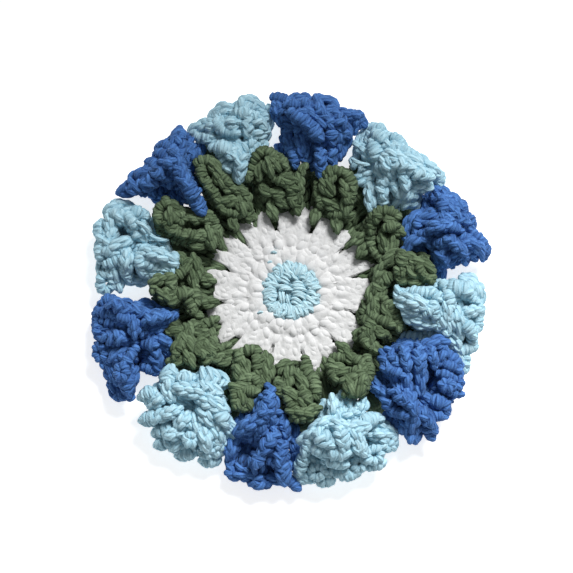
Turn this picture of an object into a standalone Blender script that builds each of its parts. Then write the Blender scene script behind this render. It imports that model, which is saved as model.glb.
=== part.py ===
"""Crochet flower coaster: a flat middle of three crocheted rounds, twelve curled leaves on the last round
and a ruffled flower outside each leaf. The tables are in millimetres and degrees, the meshes in metres,
with +Z up and the origin under the middle of the centre disc, on the surface that the coaster lies on."""

import math
from collections import namedtuple

import bmesh
import bpy
import numpy as np

MM = 0.001
GAP = 0.3                # air between two neighbouring pieces
MAT_THICK = 4.0          # the flat rounds, worked in thick yarn
SHEET_THICK = 3.0        # a flower or a leaf, one layer of the same yarn
MAX_STRETCH = 1.7        # a steep wall is this many times thicker at most, measured straight up

STITCHES = 12            # the centre disc's edge goes in and out with its twelve stitches
DISC_RADIUS = 10.2
DISC_WAVE = 0.35
DISC_SAMPLES = 48
ROUND_SAMPLES = 96
PETAL_INNER = DISC_RADIUS + DISC_WAVE + GAP

LEAF_ROUND_INNER = 28.6  # the leaf round never reaches further in than this
LEAF_ROUND_OUTER = 44.4  # its outer edge, on average
LEAF_ROUND_WAVE = 1.2    # it stands out further where a flower sits
FIRST_FLOWER_DEG = 20.0
EYELET_DEG = 45.5        # a slack loop leaves a small hole next to the white points
EYELET_HALF_DEG = 6.0
EYELET_OUTER = 36.6      # how far out the hole reaches

LOWEST_MIDDLE = 3.6      # the middle of a flower's sheet is never nearer to the table than this
CREASE_FADE = 4          # creases run out towards the rim, with this power of the way out
CREST_AT = 0.56          # how far out a fold is highest, as a part of its reach
VALLEY_POWER = 1.5       # over 1: folds are round on top and the valleys between them are sharp
SAMPLES_PER_FOLD = 4
FLOWER_RINGS = (0.36, 0.72, 1.0)
LEAF_SECTORS = 16
LEAF_RINGS = (0.45, 0.8, 1.0)
LEAF_POWER = 2.5         # a leaf's outline is a rounded oblong
LEAF_DROOP = 2.2         # how far its edge hangs below its back
POCKET_WIDTH = 0.4       # the dent in a leaf's back, as a part of its size
SHARP_EDGE_DEG = 50.0    # edges that turn by more than this are shaded sharp

# The yarns: colour and roughness.
YARNS = {
    "yarn_royal_blue": ((0.035, 0.098, 0.290), 0.85),
    "yarn_light_blue": ((0.314, 0.491, 0.590), 0.85),
    "yarn_green": ((0.065, 0.095, 0.052), 0.88),
    "yarn_white": ((0.745, 0.760, 0.766), 0.82),
}

# The white round's points: direction, reach, and how far in the valley after each one goes.
Point = namedtuple("Point", "angle reach valley")
POINTS = (
    Point(6, 30.6, 22.6), Point(20, 31.3, 27.6), Point(33, 31.0, 22.4), Point(46, 30.8, 27.8),
    Point(64, 30.8, 22.2), Point(80, 31.6, 27.8), Point(95, 31.0, 22.6), Point(111, 31.4, 27.4),
    Point(125, 31.4, 23.0), Point(141, 31.6, 28.0), Point(153, 31.6, 23.8), Point(168, 31.8, 28.2),
    Point(182, 31.6, 24.6), Point(196, 31.6, 28.4), Point(214, 32.2, 24.2), Point(228, 31.8, 27.0),
    Point(246, 29.8, 22.4), Point(258, 29.6, 26.6), Point(274, 29.6, 22.0), Point(287, 30.4, 27.0),
    Point(304, 30.6, 22.6), Point(318, 30.6, 27.2), Point(334, 30.6, 22.8), Point(348, 30.6, 27.0),
)

# A leaf: where its middle is, seen from the centre, which way it points, its size, how high its back is
# at the heel and at the tip, and how deep the dent in its back is.
Leaf = namedtuple("Leaf", "angle radius heading length width heel tip dent")
LEAVES = (
    Leaf(34.0, 39.6, 78, 17.8, 12.8, 5.9, 12.0, 2.5),
    Leaf(65.5, 40.2, 72, 18.4, 13.8, 5.9, 13.0, 3.0),
    Leaf(98.5, 41.6, 110, 22.6, 15.4, 5.9, 14.0, 2.5),
    Leaf(125.0, 45.6, 130, 25.4, 11.8, 5.9, 14.0, 2.0),
    Leaf(148.5, 45.2, 165, 25.6, 14.2, 5.9, 14.0, 2.5),
    Leaf(179.0, 40.8, 186, 23.2, 14.4, 5.9, 13.0, 2.5),
    Leaf(210.0, 41.6, 212, 17.8, 15.8, 5.9, 13.0, 2.0),
    Leaf(243.0, 37.8, 263, 23.6, 11.2, 5.9, 13.0, 2.0),
    Leaf(274.5, 38.2, 281, 23.2, 14.4, 5.9, 13.5, 3.0),
    Leaf(305.0, 37.8, 300, 17.0, 15.8, 5.9, 13.0, 2.5),
    Leaf(341.0, 35.2, 318, 19.2, 13.0, 5.9, 12.0, 2.5),
    Leaf(9.5, 41.5, 14, 24.2, 12.2, 5.9, 13.5, 2.0),
)

# A flower: its yarn, where its middle is and how high it is there, and its folds, counted anticlockwise.
# A fold: its direction, how far it reaches out, the height of its crest and of its rim, which part of the
# reach is lost in the notch between it and the next fold, and how much lower the valley between them is.
Flower = namedtuple("Flower", "yarn x y height folds")
Fold = namedtuple("Fold", "angle reach crest rim notch drop")
ROYAL = "yarn_royal_blue"
LIGHT = "yarn_light_blue"
FLOWERS = (
    Flower(ROYAL, 8, 59, 16, (
        Fold(18, 20.0, 16, 8, 0.24, 3), Fold(52, 14.3, 18, 9, 0.06, 2), Fold(75, 15.8, 18, 8, 0.14, 4),
        Fold(106, 14.6, 18, 8, 0.08, 3), Fold(134, 19.6, 17, 6, 0.38, 5), Fold(205, 13.2, 11, 4, 0.08, 2),
        Fold(240, 14.0, 12, 7.2, 0.26, 4), Fold(281, 16.0, 14, 7.2, 0.08, 3),
        Fold(313, 14.8, 11, 5, 0.06, 2), Fold(348, 14.0, 14, 5, 0.10, 3))),
    Flower(LIGHT, -20, 58, 12, (
        Fold(12, 11.6, 12, 5, 0.04, 2), Fold(37, 14.0, 13, 5, 0.14, 3), Fold(73, 15.4, 16, 6, 0.16, 4),
        Fold(118, 13.4, 16, 6, 0.14, 3), Fold(159, 15.2, 12, 5, 0.08, 2), Fold(187, 14.0, 9, 4, 0.14, 3),
        Fold(219, 11.4, 15, 9, 0.20, 2), Fold(270, 16.6, 15, 7.2, 0.30, 4),
        Fold(335, 11.2, 10, 5, 0.04, 2))),
    Flower(ROYAL, -44, 45, 18, (
        Fold(7, 8.0, 12, 6, 0.04, 1), Fold(51, 12.6, 15, 7, 0.10, 3), Fold(83, 15.6, 17, 6, 0.22, 4),
        Fold(124, 10.8, 15, 6, 0.06, 3), Fold(168, 10.0, 15, 6, 0.10, 2), Fold(199, 22.0, 16, 5, 0.22, 6),
        Fold(245, 12.0, 8, 5, 0.06, 1), Fold(282, 12.0, 8, 5, 0.04, 2),
        Fold(306, 17.6, 16, 7.2, 0.40, 4))),
    Flower(LIGHT, -62, 16, 11, (
        Fold(12, 13.0, 9, 5, 0.04, 1), Fold(42, 13.2, 15, 8, 0.05, 2), Fold(72, 15.2, 15, 8, 0.10, 3),
        Fold(104, 16.6, 14, 6, 0.12, 3), Fold(150, 13.8, 13, 4, 0.18, 3), Fold(190, 11.2, 14, 5, 0.06, 2),
        Fold(240, 18.0, 11, 4, 0.24, 4), Fold(275, 11.6, 14, 5, 0.20, 6), Fold(315, 14.2, 13, 7, 0.06, 2),
        Fold(346, 19.6, 14, 7.2, 0.22, 5))),
    Flower(ROYAL, -60, -17, 15, (
        Fold(28, 19.6, 15, 7.2, 0.12, 3), Fold(58, 12.6, 13, 6, 0.04, 2), Fold(122, 16.2, 16, 6, 0.06, 3),
        Fold(148, 16.2, 12, 4, 0.08, 3), Fold(172, 15.2, 12, 4, 0.16, 3),
        Fold(205, 15.8, 11, 3.6, 0.05, 2), Fold(234, 15.8, 11, 3.6, 0.05, 2),
        Fold(266, 24.0, 14, 5, 0.34, 5), Fold(300, 16.8, 13, 5, 0.06, 2),
        Fold(350, 15.2, 15, 7, 0.24, 6))),
    Flower(LIGHT, -37, -45, 11, (
        Fold(28, 14.6, 16, 8, 0.05, 2), Fold(61, 18.2, 17, 7.4, 0.27, 3), Fold(113, 17.8, 16, 8, 0.14, 3),
        Fold(162, 20.0, 14, 6, 0.12, 3), Fold(193, 18.2, 13, 5, 0.14, 3), Fold(235, 17.2, 12, 4, 0.10, 3),
        Fold(269, 18.0, 12, 3.6, 0.08, 3), Fold(294, 20.6, 12, 3.6, 0.10, 2),
        Fold(343, 16.8, 14, 7, 0.06, 2))),
    Flower(ROYAL, -11, -55, 17, (
        Fold(12, 13.2, 8, 5, 0.04, 1), Fold(47, 11.0, 14, 7.2, 0.04, 1), Fold(81, 19.4, 18, 8, 0.30, 3),
        Fold(131, 9.6, 15, 7, 0.02, 1), Fold(172, 8.8, 14, 8, 0.02, 5), Fold(207, 14.4, 12, 4, 0.06, 3),
        Fold(234, 17.4, 11, 3.6, 0.08, 2), Fold(268, 18.8, 12, 3.6, 0.14, 4),
        Fold(305, 19.8, 12, 3.6, 0.12, 2), Fold(340, 11.4, 13, 6, 0.02, 2))),
    Flower(LIGHT, 17, -56, 16, (
        Fold(0, 22.8, 11, 4, 0.08, 2), Fold(33, 17.0, 15, 7, 0.14, 3), Fold(58, 17.0, 13, 7, 0.08, 2),
        Fold(97, 17.6, 12, 7.4, 0.22, 3), Fold(140, 11.2, 13, 6, 0.04, 1),
        Fold(180, 12.0, 16, 8, 0.05, 2), Fold(212, 17.6, 12, 4, 0.06, 2),
        Fold(254, 17.6, 12, 3.6, 0.10, 2), Fold(290, 16.2, 12, 3.6, 0.08, 2),
        Fold(333, 19.8, 12, 3.6, 0.08, 2))),
    Flower(ROYAL, 48, -38, 10, (
        Fold(10, 17.0, 10, 4, 0.20, 2), Fold(38, 18.8, 12, 5, 0.10, 2), Fold(67, 20.6, 16, 9, 0.10, 2),
        Fold(112, 18.8, 17, 8, 0.05, 2), Fold(145, 18.8, 16, 7.4, 0.12, 3),
        Fold(176, 17.6, 13, 6, 0.14, 2), Fold(205, 14.8, 15, 6, 0.05, 2), Fold(250, 16.4, 14, 5, 0.05, 3),
        Fold(275, 17.2, 13, 4, 0.16, 2), Fold(325, 12.8, 10, 3.6, 0.06, 2))),
    Flower(LIGHT, 56, -8, 14, (
        Fold(0, 15.6, 14, 5, 0.12, 3), Fold(33, 17.8, 14, 5, 0.06, 2), Fold(60, 14.6, 14, 5, 0.10, 2),
        Fold(105, 11.0, 13, 5, 0.04, 1), Fold(136, 12.0, 14, 7, 0.04, 1),
        Fold(168, 17.2, 16, 7.4, 0.12, 2), Fold(216, 15.0, 9, 7, 0.20, 4), Fold(262, 9.6, 11, 5, 0.10, 1),
        Fold(297, 19.6, 9, 3.6, 0.10, 2), Fold(328, 16.8, 12, 4, 0.10, 3))),
    Flower(ROYAL, 57, 21, 16, (
        Fold(23, 12.4, 15, 6, 0.08, 2), Fold(60, 14.6, 15, 6, 0.10, 3), Fold(92, 17.4, 14, 5, 0.10, 2),
        Fold(122, 14.2, 12, 5, 0.16, 2), Fold(163, 14.2, 14, 6, 0.08, 3),
        Fold(196, 16.4, 14, 7.4, 0.14, 3), Fold(222, 11.8, 9, 5, 0.04, 1),
        Fold(264, 15.2, 10, 4, 0.06, 2), Fold(312, 13.6, 13, 5, 0.05, 2),
        Fold(341, 18.6, 14, 5, 0.20, 3))),
    Flower(LIGHT, 38, 46, 16, (
        Fold(35, 9.4, 16, 6, 0.03, 1), Fold(80, 12.4, 15, 5, 0.10, 2), Fold(111, 17.6, 15, 5, 0.08, 2),
        Fold(142, 16.0, 13, 5, 0.12, 3), Fold(174, 15.6, 11, 5, 0.10, 2), Fold(212, 13.4, 9, 7, 0.06, 1),
        Fold(246, 15.8, 12, 7.4, 0.14, 3), Fold(291, 16.0, 12, 5, 0.12, 4),
        Fold(345, 18.6, 15, 6, 0.22, 2))),
)

# The main creases: which flower, where the middle of the crease is, which way it runs, its size, and how
# far it rises above the folds there. Below zero it is a trough, such as a pit or the gap under a lobe.
Crease = namedtuple("Crease", "flower x y heading length width rise")
CREASES = (
    Crease(1, 13, 69, 60, 8, 6, -5), Crease(1, 4, 63, 145, 18, 7, 2), Crease(1, 0, 58, 10, 9, 4, -4),
    Crease(1, 8, 50, 90, 14, 4, -4), Crease(1, 20, 56, 75, 12, 3, -3),
    Crease(2, -25, 55.5, 5, 14, 3.5, -5), Crease(2, -20, 53.5, 130, 7, 3, -4),
    Crease(2, -15, 69, 20, 6, 3, -3), Crease(2, -22, 66, 0, 7, 3, -3),
    Crease(3, -48, 37, 20, 14, 6, -5), Crease(3, -42, 35, 80, 10, 5, -4),
    Crease(3, -56, 40, 15, 22, 7, 3), Crease(3, -37.5, 38, 117, 20, 6, 3),
    Crease(3, -43, 54, 80, 14, 8, 2),
    Crease(4, -62, 21.5, 160, 9, 5, -6), Crease(4, -58.5, 9, 85, 14, 3.5, -6),
    Crease(4, -50, 16.8, 0, 12, 3, -5), Crease(4, -50, 10.5, 0, 14, 8, 3),
    Crease(4, -69, 5, 70, 9, 3, -3),
    Crease(5, -55, -19.5, 20, 22, 3, -6), Crease(5, -57, -27.5, 60, 9, 5, -6),
    Crease(5, -68, -13, 170, 12, 3, -3), Crease(5, -53, -11, 160, 20, 8, 2),
    Crease(6, -37, -44, 120, 11, 5, -6), Crease(6, -46, -40, 60, 10, 3, -3),
    Crease(6, -29, -50, 60, 10, 3, -3), Crease(6, -42, -54, 100, 9, 3, -3),
    Crease(7, -16, -59.5, 20, 12, 6, -7), Crease(7, -9, -67.5, 70, 9, 4, -4),
    Crease(7, -8, -45, 80, 18, 8, 2), Crease(7, -7, -61, 110, 10, 6, 2),
    Crease(8, 21, -48.3, 5, 13, 3, -6), Crease(8, 20, -42, 0, 9, 6, -3),
    Crease(8, 15, -57, 10, 20, 14, 2), Crease(8, 8, -62.5, 150, 12, 3, -4),
    Crease(8, 20, -66, 10, 12, 3, -4), Crease(8, 28.5, -58, 70, 14, 3, -4),
    Crease(9, 51, -35, 80, 18, 6, -6), Crease(9, 56, -27, 45, 10, 3, -4),
    Crease(9, 43, -26, 20, 20, 11, 2), Crease(9, 41, -45, 120, 18, 10, 2),
    Crease(9, 36, -34, 150, 9, 3, -5),
    Crease(10, 47, -13.5, 170, 14, 4, -6), Crease(10, 64, -19, 110, 7, 5, -5),
    Crease(10, 65, -7, 20, 8, 4, -4), Crease(10, 58, -15.5, 170, 10, 3, -3),
    Crease(10, 48, -5, 0, 16, 9, 2),
    Crease(11, 51, 12.5, 60, 12, 6, -5), Crease(11, 47, 16, 20, 8, 4, -4),
    Crease(11, 52, 32, 60, 9, 4, -4), Crease(11, 64, 22.5, 160, 10, 3, -3),
    Crease(11, 60, 16, 150, 18, 7, 2),
    Crease(12, 37, 36, 85, 12, 3.5, -5), Crease(12, 26, 51, 120, 7, 5, -4),
    Crease(12, 33, 42.5, 0, 9, 3, -3), Crease(12, 36, 54.5, 0, 11, 3, -3),
    Crease(12, 47, 44, 165, 18, 8, 2),
)


def clear_scene():
    for thing in list(bpy.data.objects):
        bpy.data.objects.remove(thing, do_unlink=True)


def make_yarn(name):
    colour, roughness = YARNS[name]
    material = bpy.data.materials.new(name)
    material.use_nodes = True
    shader = material.node_tree.nodes["Principled BSDF"]
    shader.inputs["Base Color"].default_value = (*colour, 1.0)
    shader.inputs["Roughness"].default_value = roughness
    shader.inputs["Metallic"].default_value = 0.0
    return material


def smoothstep(value):
    value = np.clip(value, 0.0, 1.0)
    return value * value * (3.0 - 2.0 * value)


def valley(part):
    """0 on a fold, 1 half way to the next one."""
    return (1.0 - np.abs(2.0 * part - 1.0)) ** VALLEY_POWER


def fold_ray(folds, turn):
    """Direction, reach, crest and rim at a turn counted in folds: 2.5 is half way from fold 2 to fold 3."""
    table = np.array(folds, dtype=float)
    count = len(table)
    first = np.floor(turn).astype(int) % count
    second = (first + 1) % count
    part = turn - np.floor(turn)
    here, following = table[first], table[second]
    start, end = here[:, 0], following[:, 0] + np.where(second == 0, 360.0, 0.0)
    ease = smoothstep(part)[:, None]
    reach, crest, rim = ((1.0 - ease) * here[:, 1:4] + ease * following[:, 1:4]).T
    low = valley(part)
    notch, drop = here[:, 4] * low, here[:, 5] * low
    direction = np.radians(start + (end - start) * part)
    return direction, reach * (1.0 - notch), crest - drop, rim


def crease_rise(crease, x, y):
    heading = math.radians(crease.heading)
    along = (x - crease.x) * math.cos(heading) + (y - crease.y) * math.sin(heading)
    across = (y - crease.y) * math.cos(heading) - (x - crease.x) * math.sin(heading)
    return crease.rise * np.exp(-((2.0 * along / crease.length) ** 2) - (2.0 * across / crease.width) ** 2)


def flower_surface(flower, creases, turn, out):
    """The middle of a flower's sheet at a turn (in folds) and a part of the way out, in millimetres."""
    direction, reach, crest, rim = fold_ray(flower.folds, turn)
    rise = smoothstep(out / CREST_AT)
    fall = (np.maximum(out - CREST_AT, 0.0) / (1.0 - CREST_AT)) ** 2
    height = flower.height + (crest - flower.height) * rise - (crest - rim) * fall
    x = flower.x + out * reach * np.cos(direction)
    y = flower.y + out * reach * np.sin(direction)
    for crease in creases:
        height = height + crease_rise(crease, x, y) * (1.0 - out ** CREASE_FADE)
    return np.stack([x, y, np.maximum(height, LOWEST_MIDDLE)], axis=-1)


def leaf_surface(leaf, turn, out):
    """The middle of a leaf's sheet; turn runs from 0 to 1 round its outline."""
    around = 2.0 * math.pi * turn
    along, across = np.cos(around), np.sin(around)
    oblong = np.abs(along / leaf.length * 2.0) ** LEAF_POWER + np.abs(across / leaf.width * 2.0) ** LEAF_POWER
    reach = oblong ** (-1.0 / LEAF_POWER)
    along, across = along * reach * out, across * reach * out
    climb = smoothstep(along / leaf.length + 0.5)
    height = leaf.heel + (leaf.tip - leaf.heel) * climb
    height = height - LEAF_DROOP * out ** 3 * climb - leaf.dent * np.exp(-((out / POCKET_WIDTH) ** 2))
    heading, place = math.radians(leaf.heading), math.radians(leaf.angle)
    x = leaf.radius * math.cos(place) + along * math.cos(heading) - across * math.sin(heading)
    y = leaf.radius * math.sin(place) + along * math.sin(heading) + across * math.cos(heading)
    return np.stack([x, y, height], axis=-1)


def upright_thickness(surface, turns, out):
    """How thick a sheet is straight up, where its surface leans."""
    step = 0.01
    here = np.full_like(turns, out)
    inner, outer = here - step, np.minimum(here + step, 1.0)
    along_turn = surface(turns + step, here) - surface(turns - step, here)
    along_out = surface(turns, outer) - surface(turns, inner)
    normal = np.cross(along_turn, along_out)
    lean = np.abs(normal[:, 2]) / np.linalg.norm(normal, axis=1)
    return SHEET_THICK * np.minimum(1.0 / np.maximum(lean, 1e-6), MAX_STRETCH)


def add_object(name, mesh_data, yarn):
    bmesh.ops.recalc_face_normals(mesh_data, faces=mesh_data.faces[:])
    mesh = bpy.data.meshes.new(name)
    mesh_data.to_mesh(mesh)
    mesh_data.free()
    mesh.materials.append(yarn)
    mesh.shade_smooth()
    mesh.set_sharp_from_angle(angle=math.radians(SHARP_EDGE_DEG))
    thing = bpy.data.objects.new(name, mesh)
    bpy.context.scene.collection.objects.link(thing)


def thicken(mesh_data, faces, depths):
    """Extrudes a sheet's faces straight down, each corner by its own depth."""
    upper = list(mesh_data.verts)
    made = bmesh.ops.extrude_face_region(mesh_data, geom=faces)["geom"]
    lower = [item for item in made if isinstance(item, bmesh.types.BMVert)]
    depth_at = {tuple(corner.co): depth for corner, depth in zip(upper, depths)}
    for corner in lower:
        corner.co.z -= depth_at[tuple(corner.co)]


def soft_sheet(name, surface, sectors, turn_span, rings, yarn):
    """A closed sheet of rings round a middle point, as thick as the yarn at every place."""
    turns = np.arange(sectors) / sectors * turn_span
    centre = surface(np.zeros(1), np.zeros(1))[0]
    points, depths = [centre + (0.0, 0.0, SHEET_THICK / 2.0)], [SHEET_THICK]
    for out in rings:
        thickness = upright_thickness(surface, turns, out)
        ring = surface(turns, np.full(sectors, out))
        ring[:, 2] += thickness / 2.0
        points.extend(ring)
        depths.extend(thickness)
    mesh_data = bmesh.new()
    corners = [mesh_data.verts.new(np.array(point) * MM) for point in points]
    faces = []
    for sector in range(sectors):
        following = (sector + 1) % sectors
        faces.append(mesh_data.faces.new((corners[0], corners[1 + sector], corners[1 + following])))
        for ring in range(1, len(rings)):
            inner, outer = 1 + (ring - 1) * sectors, 1 + ring * sectors
            faces.append(mesh_data.faces.new((
                corners[inner + sector], corners[outer + sector],
                corners[outer + following], corners[inner + following])))
    thicken(mesh_data, faces, [depth * MM for depth in depths])
    add_object(name, mesh_data, yarn)


def flat_round(name, outer, inner, yarn):
    """A flat crocheted round between two outlines, given as radii at equal steps; inner may be None."""
    directions = np.arange(len(outer)) * 2.0 * math.pi / len(outer)
    unit = np.stack([np.cos(directions), np.sin(directions)], axis=-1)
    mesh_data = bmesh.new()

    def outline(radii):
        flat = unit * radii[:, None] * MM
        return [mesh_data.verts.new((x, y, MAT_THICK * MM)) for x, y in flat]

    rim = outline(outer)
    faces = []
    if inner is None:
        faces.append(mesh_data.faces.new(rim))
    else:
        hole = outline(inner)
        for index in range(len(rim)):
            following = (index + 1) % len(rim)
            faces.append(mesh_data.faces.new((hole[index], rim[index], rim[following], hole[following])))
    thicken(mesh_data, faces, [MAT_THICK * MM] * len(mesh_data.verts))
    add_object(name, mesh_data, yarn)


def point_edge(directions):
    """The white round's outer edge: points with valleys between them."""
    table = np.array(POINTS)
    angles = np.append(table[:, 0], table[0, 0] + 360.0)
    wrapped = np.where(directions < angles[0], directions + 360.0, directions)
    first = np.searchsorted(angles, wrapped, side="right") - 1
    part = (wrapped - angles[first]) / (angles[first + 1] - angles[first])
    reach = table[:, 1]
    span = reach[first] + (reach[(first + 1) % len(table)] - reach[first]) * part
    return span - (span - table[first, 2]) * valley(part)


def build_rounds(yarns):
    """The centre disc, the white round with its points and the leaf round that takes leaves and flowers."""
    disc_turns = np.arange(DISC_SAMPLES) * 2.0 * math.pi / DISC_SAMPLES
    disc_edge = DISC_RADIUS + DISC_WAVE * np.cos(STITCHES * disc_turns)
    flat_round("centre_disc", disc_edge, None, yarns[LIGHT])

    directions = np.arange(ROUND_SAMPLES) * 360.0 / ROUND_SAMPLES
    points = point_edge(directions)
    flat_round("petal_round", points, np.full(ROUND_SAMPLES, PETAL_INNER), yarns["yarn_white"])

    inner = np.maximum(points + 2.0 * GAP, LEAF_ROUND_INNER)
    from_eyelet = np.abs(directions - EYELET_DEG) / EYELET_HALF_DEG
    inner = np.maximum(inner, np.where(from_eyelet < 1.0, EYELET_OUTER, 0.0))
    swell = np.cos(np.radians(STITCHES * (directions - FIRST_FLOWER_DEG)))
    flat_round("leaf_round", LEAF_ROUND_OUTER + LEAF_ROUND_WAVE * swell, inner, yarns["yarn_green"])


def build_leaves(yarns):
    for number, leaf in enumerate(LEAVES, start=1):
        def surface(turn, out, leaf=leaf):
            return leaf_surface(leaf, turn, out)

        soft_sheet(f"leaf_{number:02d}", surface, LEAF_SECTORS, 1.0, LEAF_RINGS, yarns["yarn_green"])


def build_flowers(yarns):
    for number, flower in enumerate(FLOWERS, start=1):
        creases = [crease for crease in CREASES if crease.flower == number]

        def surface(turn, out, flower=flower, creases=creases):
            return flower_surface(flower, creases, turn, out)

        folds = len(flower.folds)
        soft_sheet(f"flower_{number:02d}", surface, folds * SAMPLES_PER_FOLD, folds, FLOWER_RINGS,
                   yarns[flower.yarn])


def main():
    clear_scene()
    yarns = {name: make_yarn(name) for name in YARNS}
    build_rounds(yarns)
    build_leaves(yarns)
    build_flowers(yarns)


main()
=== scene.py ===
"""Crochet flower coaster, the visible yarn. Every round, leaf and flower is a thin closed sheet in the place
of its CAD solid, with its stitches worked over it as tubes of yarn. The tables and the shape functions are in
millimetres, the meshes in metres."""

import math
from collections import namedtuple

import bpy
import numpy as np
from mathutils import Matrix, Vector


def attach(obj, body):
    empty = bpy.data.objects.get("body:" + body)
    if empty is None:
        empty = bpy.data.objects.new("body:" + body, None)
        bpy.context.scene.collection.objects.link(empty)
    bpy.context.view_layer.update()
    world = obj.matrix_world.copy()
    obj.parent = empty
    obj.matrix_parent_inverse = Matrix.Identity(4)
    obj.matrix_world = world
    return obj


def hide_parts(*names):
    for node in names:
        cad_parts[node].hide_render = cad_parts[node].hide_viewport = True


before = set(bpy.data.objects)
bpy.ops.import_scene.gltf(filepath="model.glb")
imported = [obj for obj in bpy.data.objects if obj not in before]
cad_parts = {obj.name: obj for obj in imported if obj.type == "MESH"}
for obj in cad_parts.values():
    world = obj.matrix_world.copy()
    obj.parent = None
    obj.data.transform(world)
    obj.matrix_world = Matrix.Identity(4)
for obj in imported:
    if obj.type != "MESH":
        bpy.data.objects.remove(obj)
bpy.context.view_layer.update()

MM = 0.001

# ---------------------------------------------------------------- shapes, as in the CAD

# The white round's points: direction, reach, and how far in the valley after each one goes.
Point = namedtuple("Point", "angle reach valley")
POINTS = (
    Point(6, 30.6, 22.6), Point(20, 31.3, 27.6), Point(33, 31.0, 22.4), Point(46, 30.8, 27.8),
    Point(64, 30.8, 22.2), Point(80, 31.6, 27.8), Point(95, 31.0, 22.6), Point(111, 31.4, 27.4),
    Point(125, 31.4, 23.0), Point(141, 31.6, 28.0), Point(153, 31.6, 23.8), Point(168, 31.8, 28.2),
    Point(182, 31.6, 24.6), Point(196, 31.6, 28.4), Point(214, 32.2, 24.2), Point(228, 31.8, 27.0),
    Point(246, 29.8, 22.4), Point(258, 29.6, 26.6), Point(274, 29.6, 22.0), Point(287, 30.4, 27.0),
    Point(304, 30.6, 22.6), Point(318, 30.6, 27.2), Point(334, 30.6, 22.8), Point(348, 30.6, 27.0),
)

# A leaf: where its middle is, seen from the centre, which way it points, its size, how high its back is
# at the heel and at the tip, and how deep the dent in its back is.
Leaf = namedtuple("Leaf", "angle radius heading length width heel tip dent")
LEAVES = (
    Leaf(34.0, 39.6, 78, 17.8, 12.8, 5.9, 12.0, 2.5),
    Leaf(65.5, 40.2, 72, 18.4, 13.8, 5.9, 13.0, 3.0),
    Leaf(98.5, 41.6, 110, 22.6, 15.4, 5.9, 14.0, 2.5),
    Leaf(125.0, 45.6, 130, 25.4, 11.8, 5.9, 14.0, 2.0),
    Leaf(148.5, 45.2, 165, 25.6, 14.2, 5.9, 14.0, 2.5),
    Leaf(179.0, 40.8, 186, 23.2, 14.4, 5.9, 13.0, 2.5),
    Leaf(210.0, 41.6, 212, 17.8, 15.8, 5.9, 13.0, 2.0),
    Leaf(243.0, 37.8, 263, 23.6, 11.2, 5.9, 13.0, 2.0),
    Leaf(274.5, 38.2, 281, 23.2, 14.4, 5.9, 13.5, 3.0),
    Leaf(305.0, 37.8, 300, 17.0, 15.8, 5.9, 13.0, 2.5),
    Leaf(341.0, 35.2, 318, 19.2, 13.0, 5.9, 12.0, 2.5),
    Leaf(9.5, 41.5, 14, 24.2, 12.2, 5.9, 13.5, 2.0),
)

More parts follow.
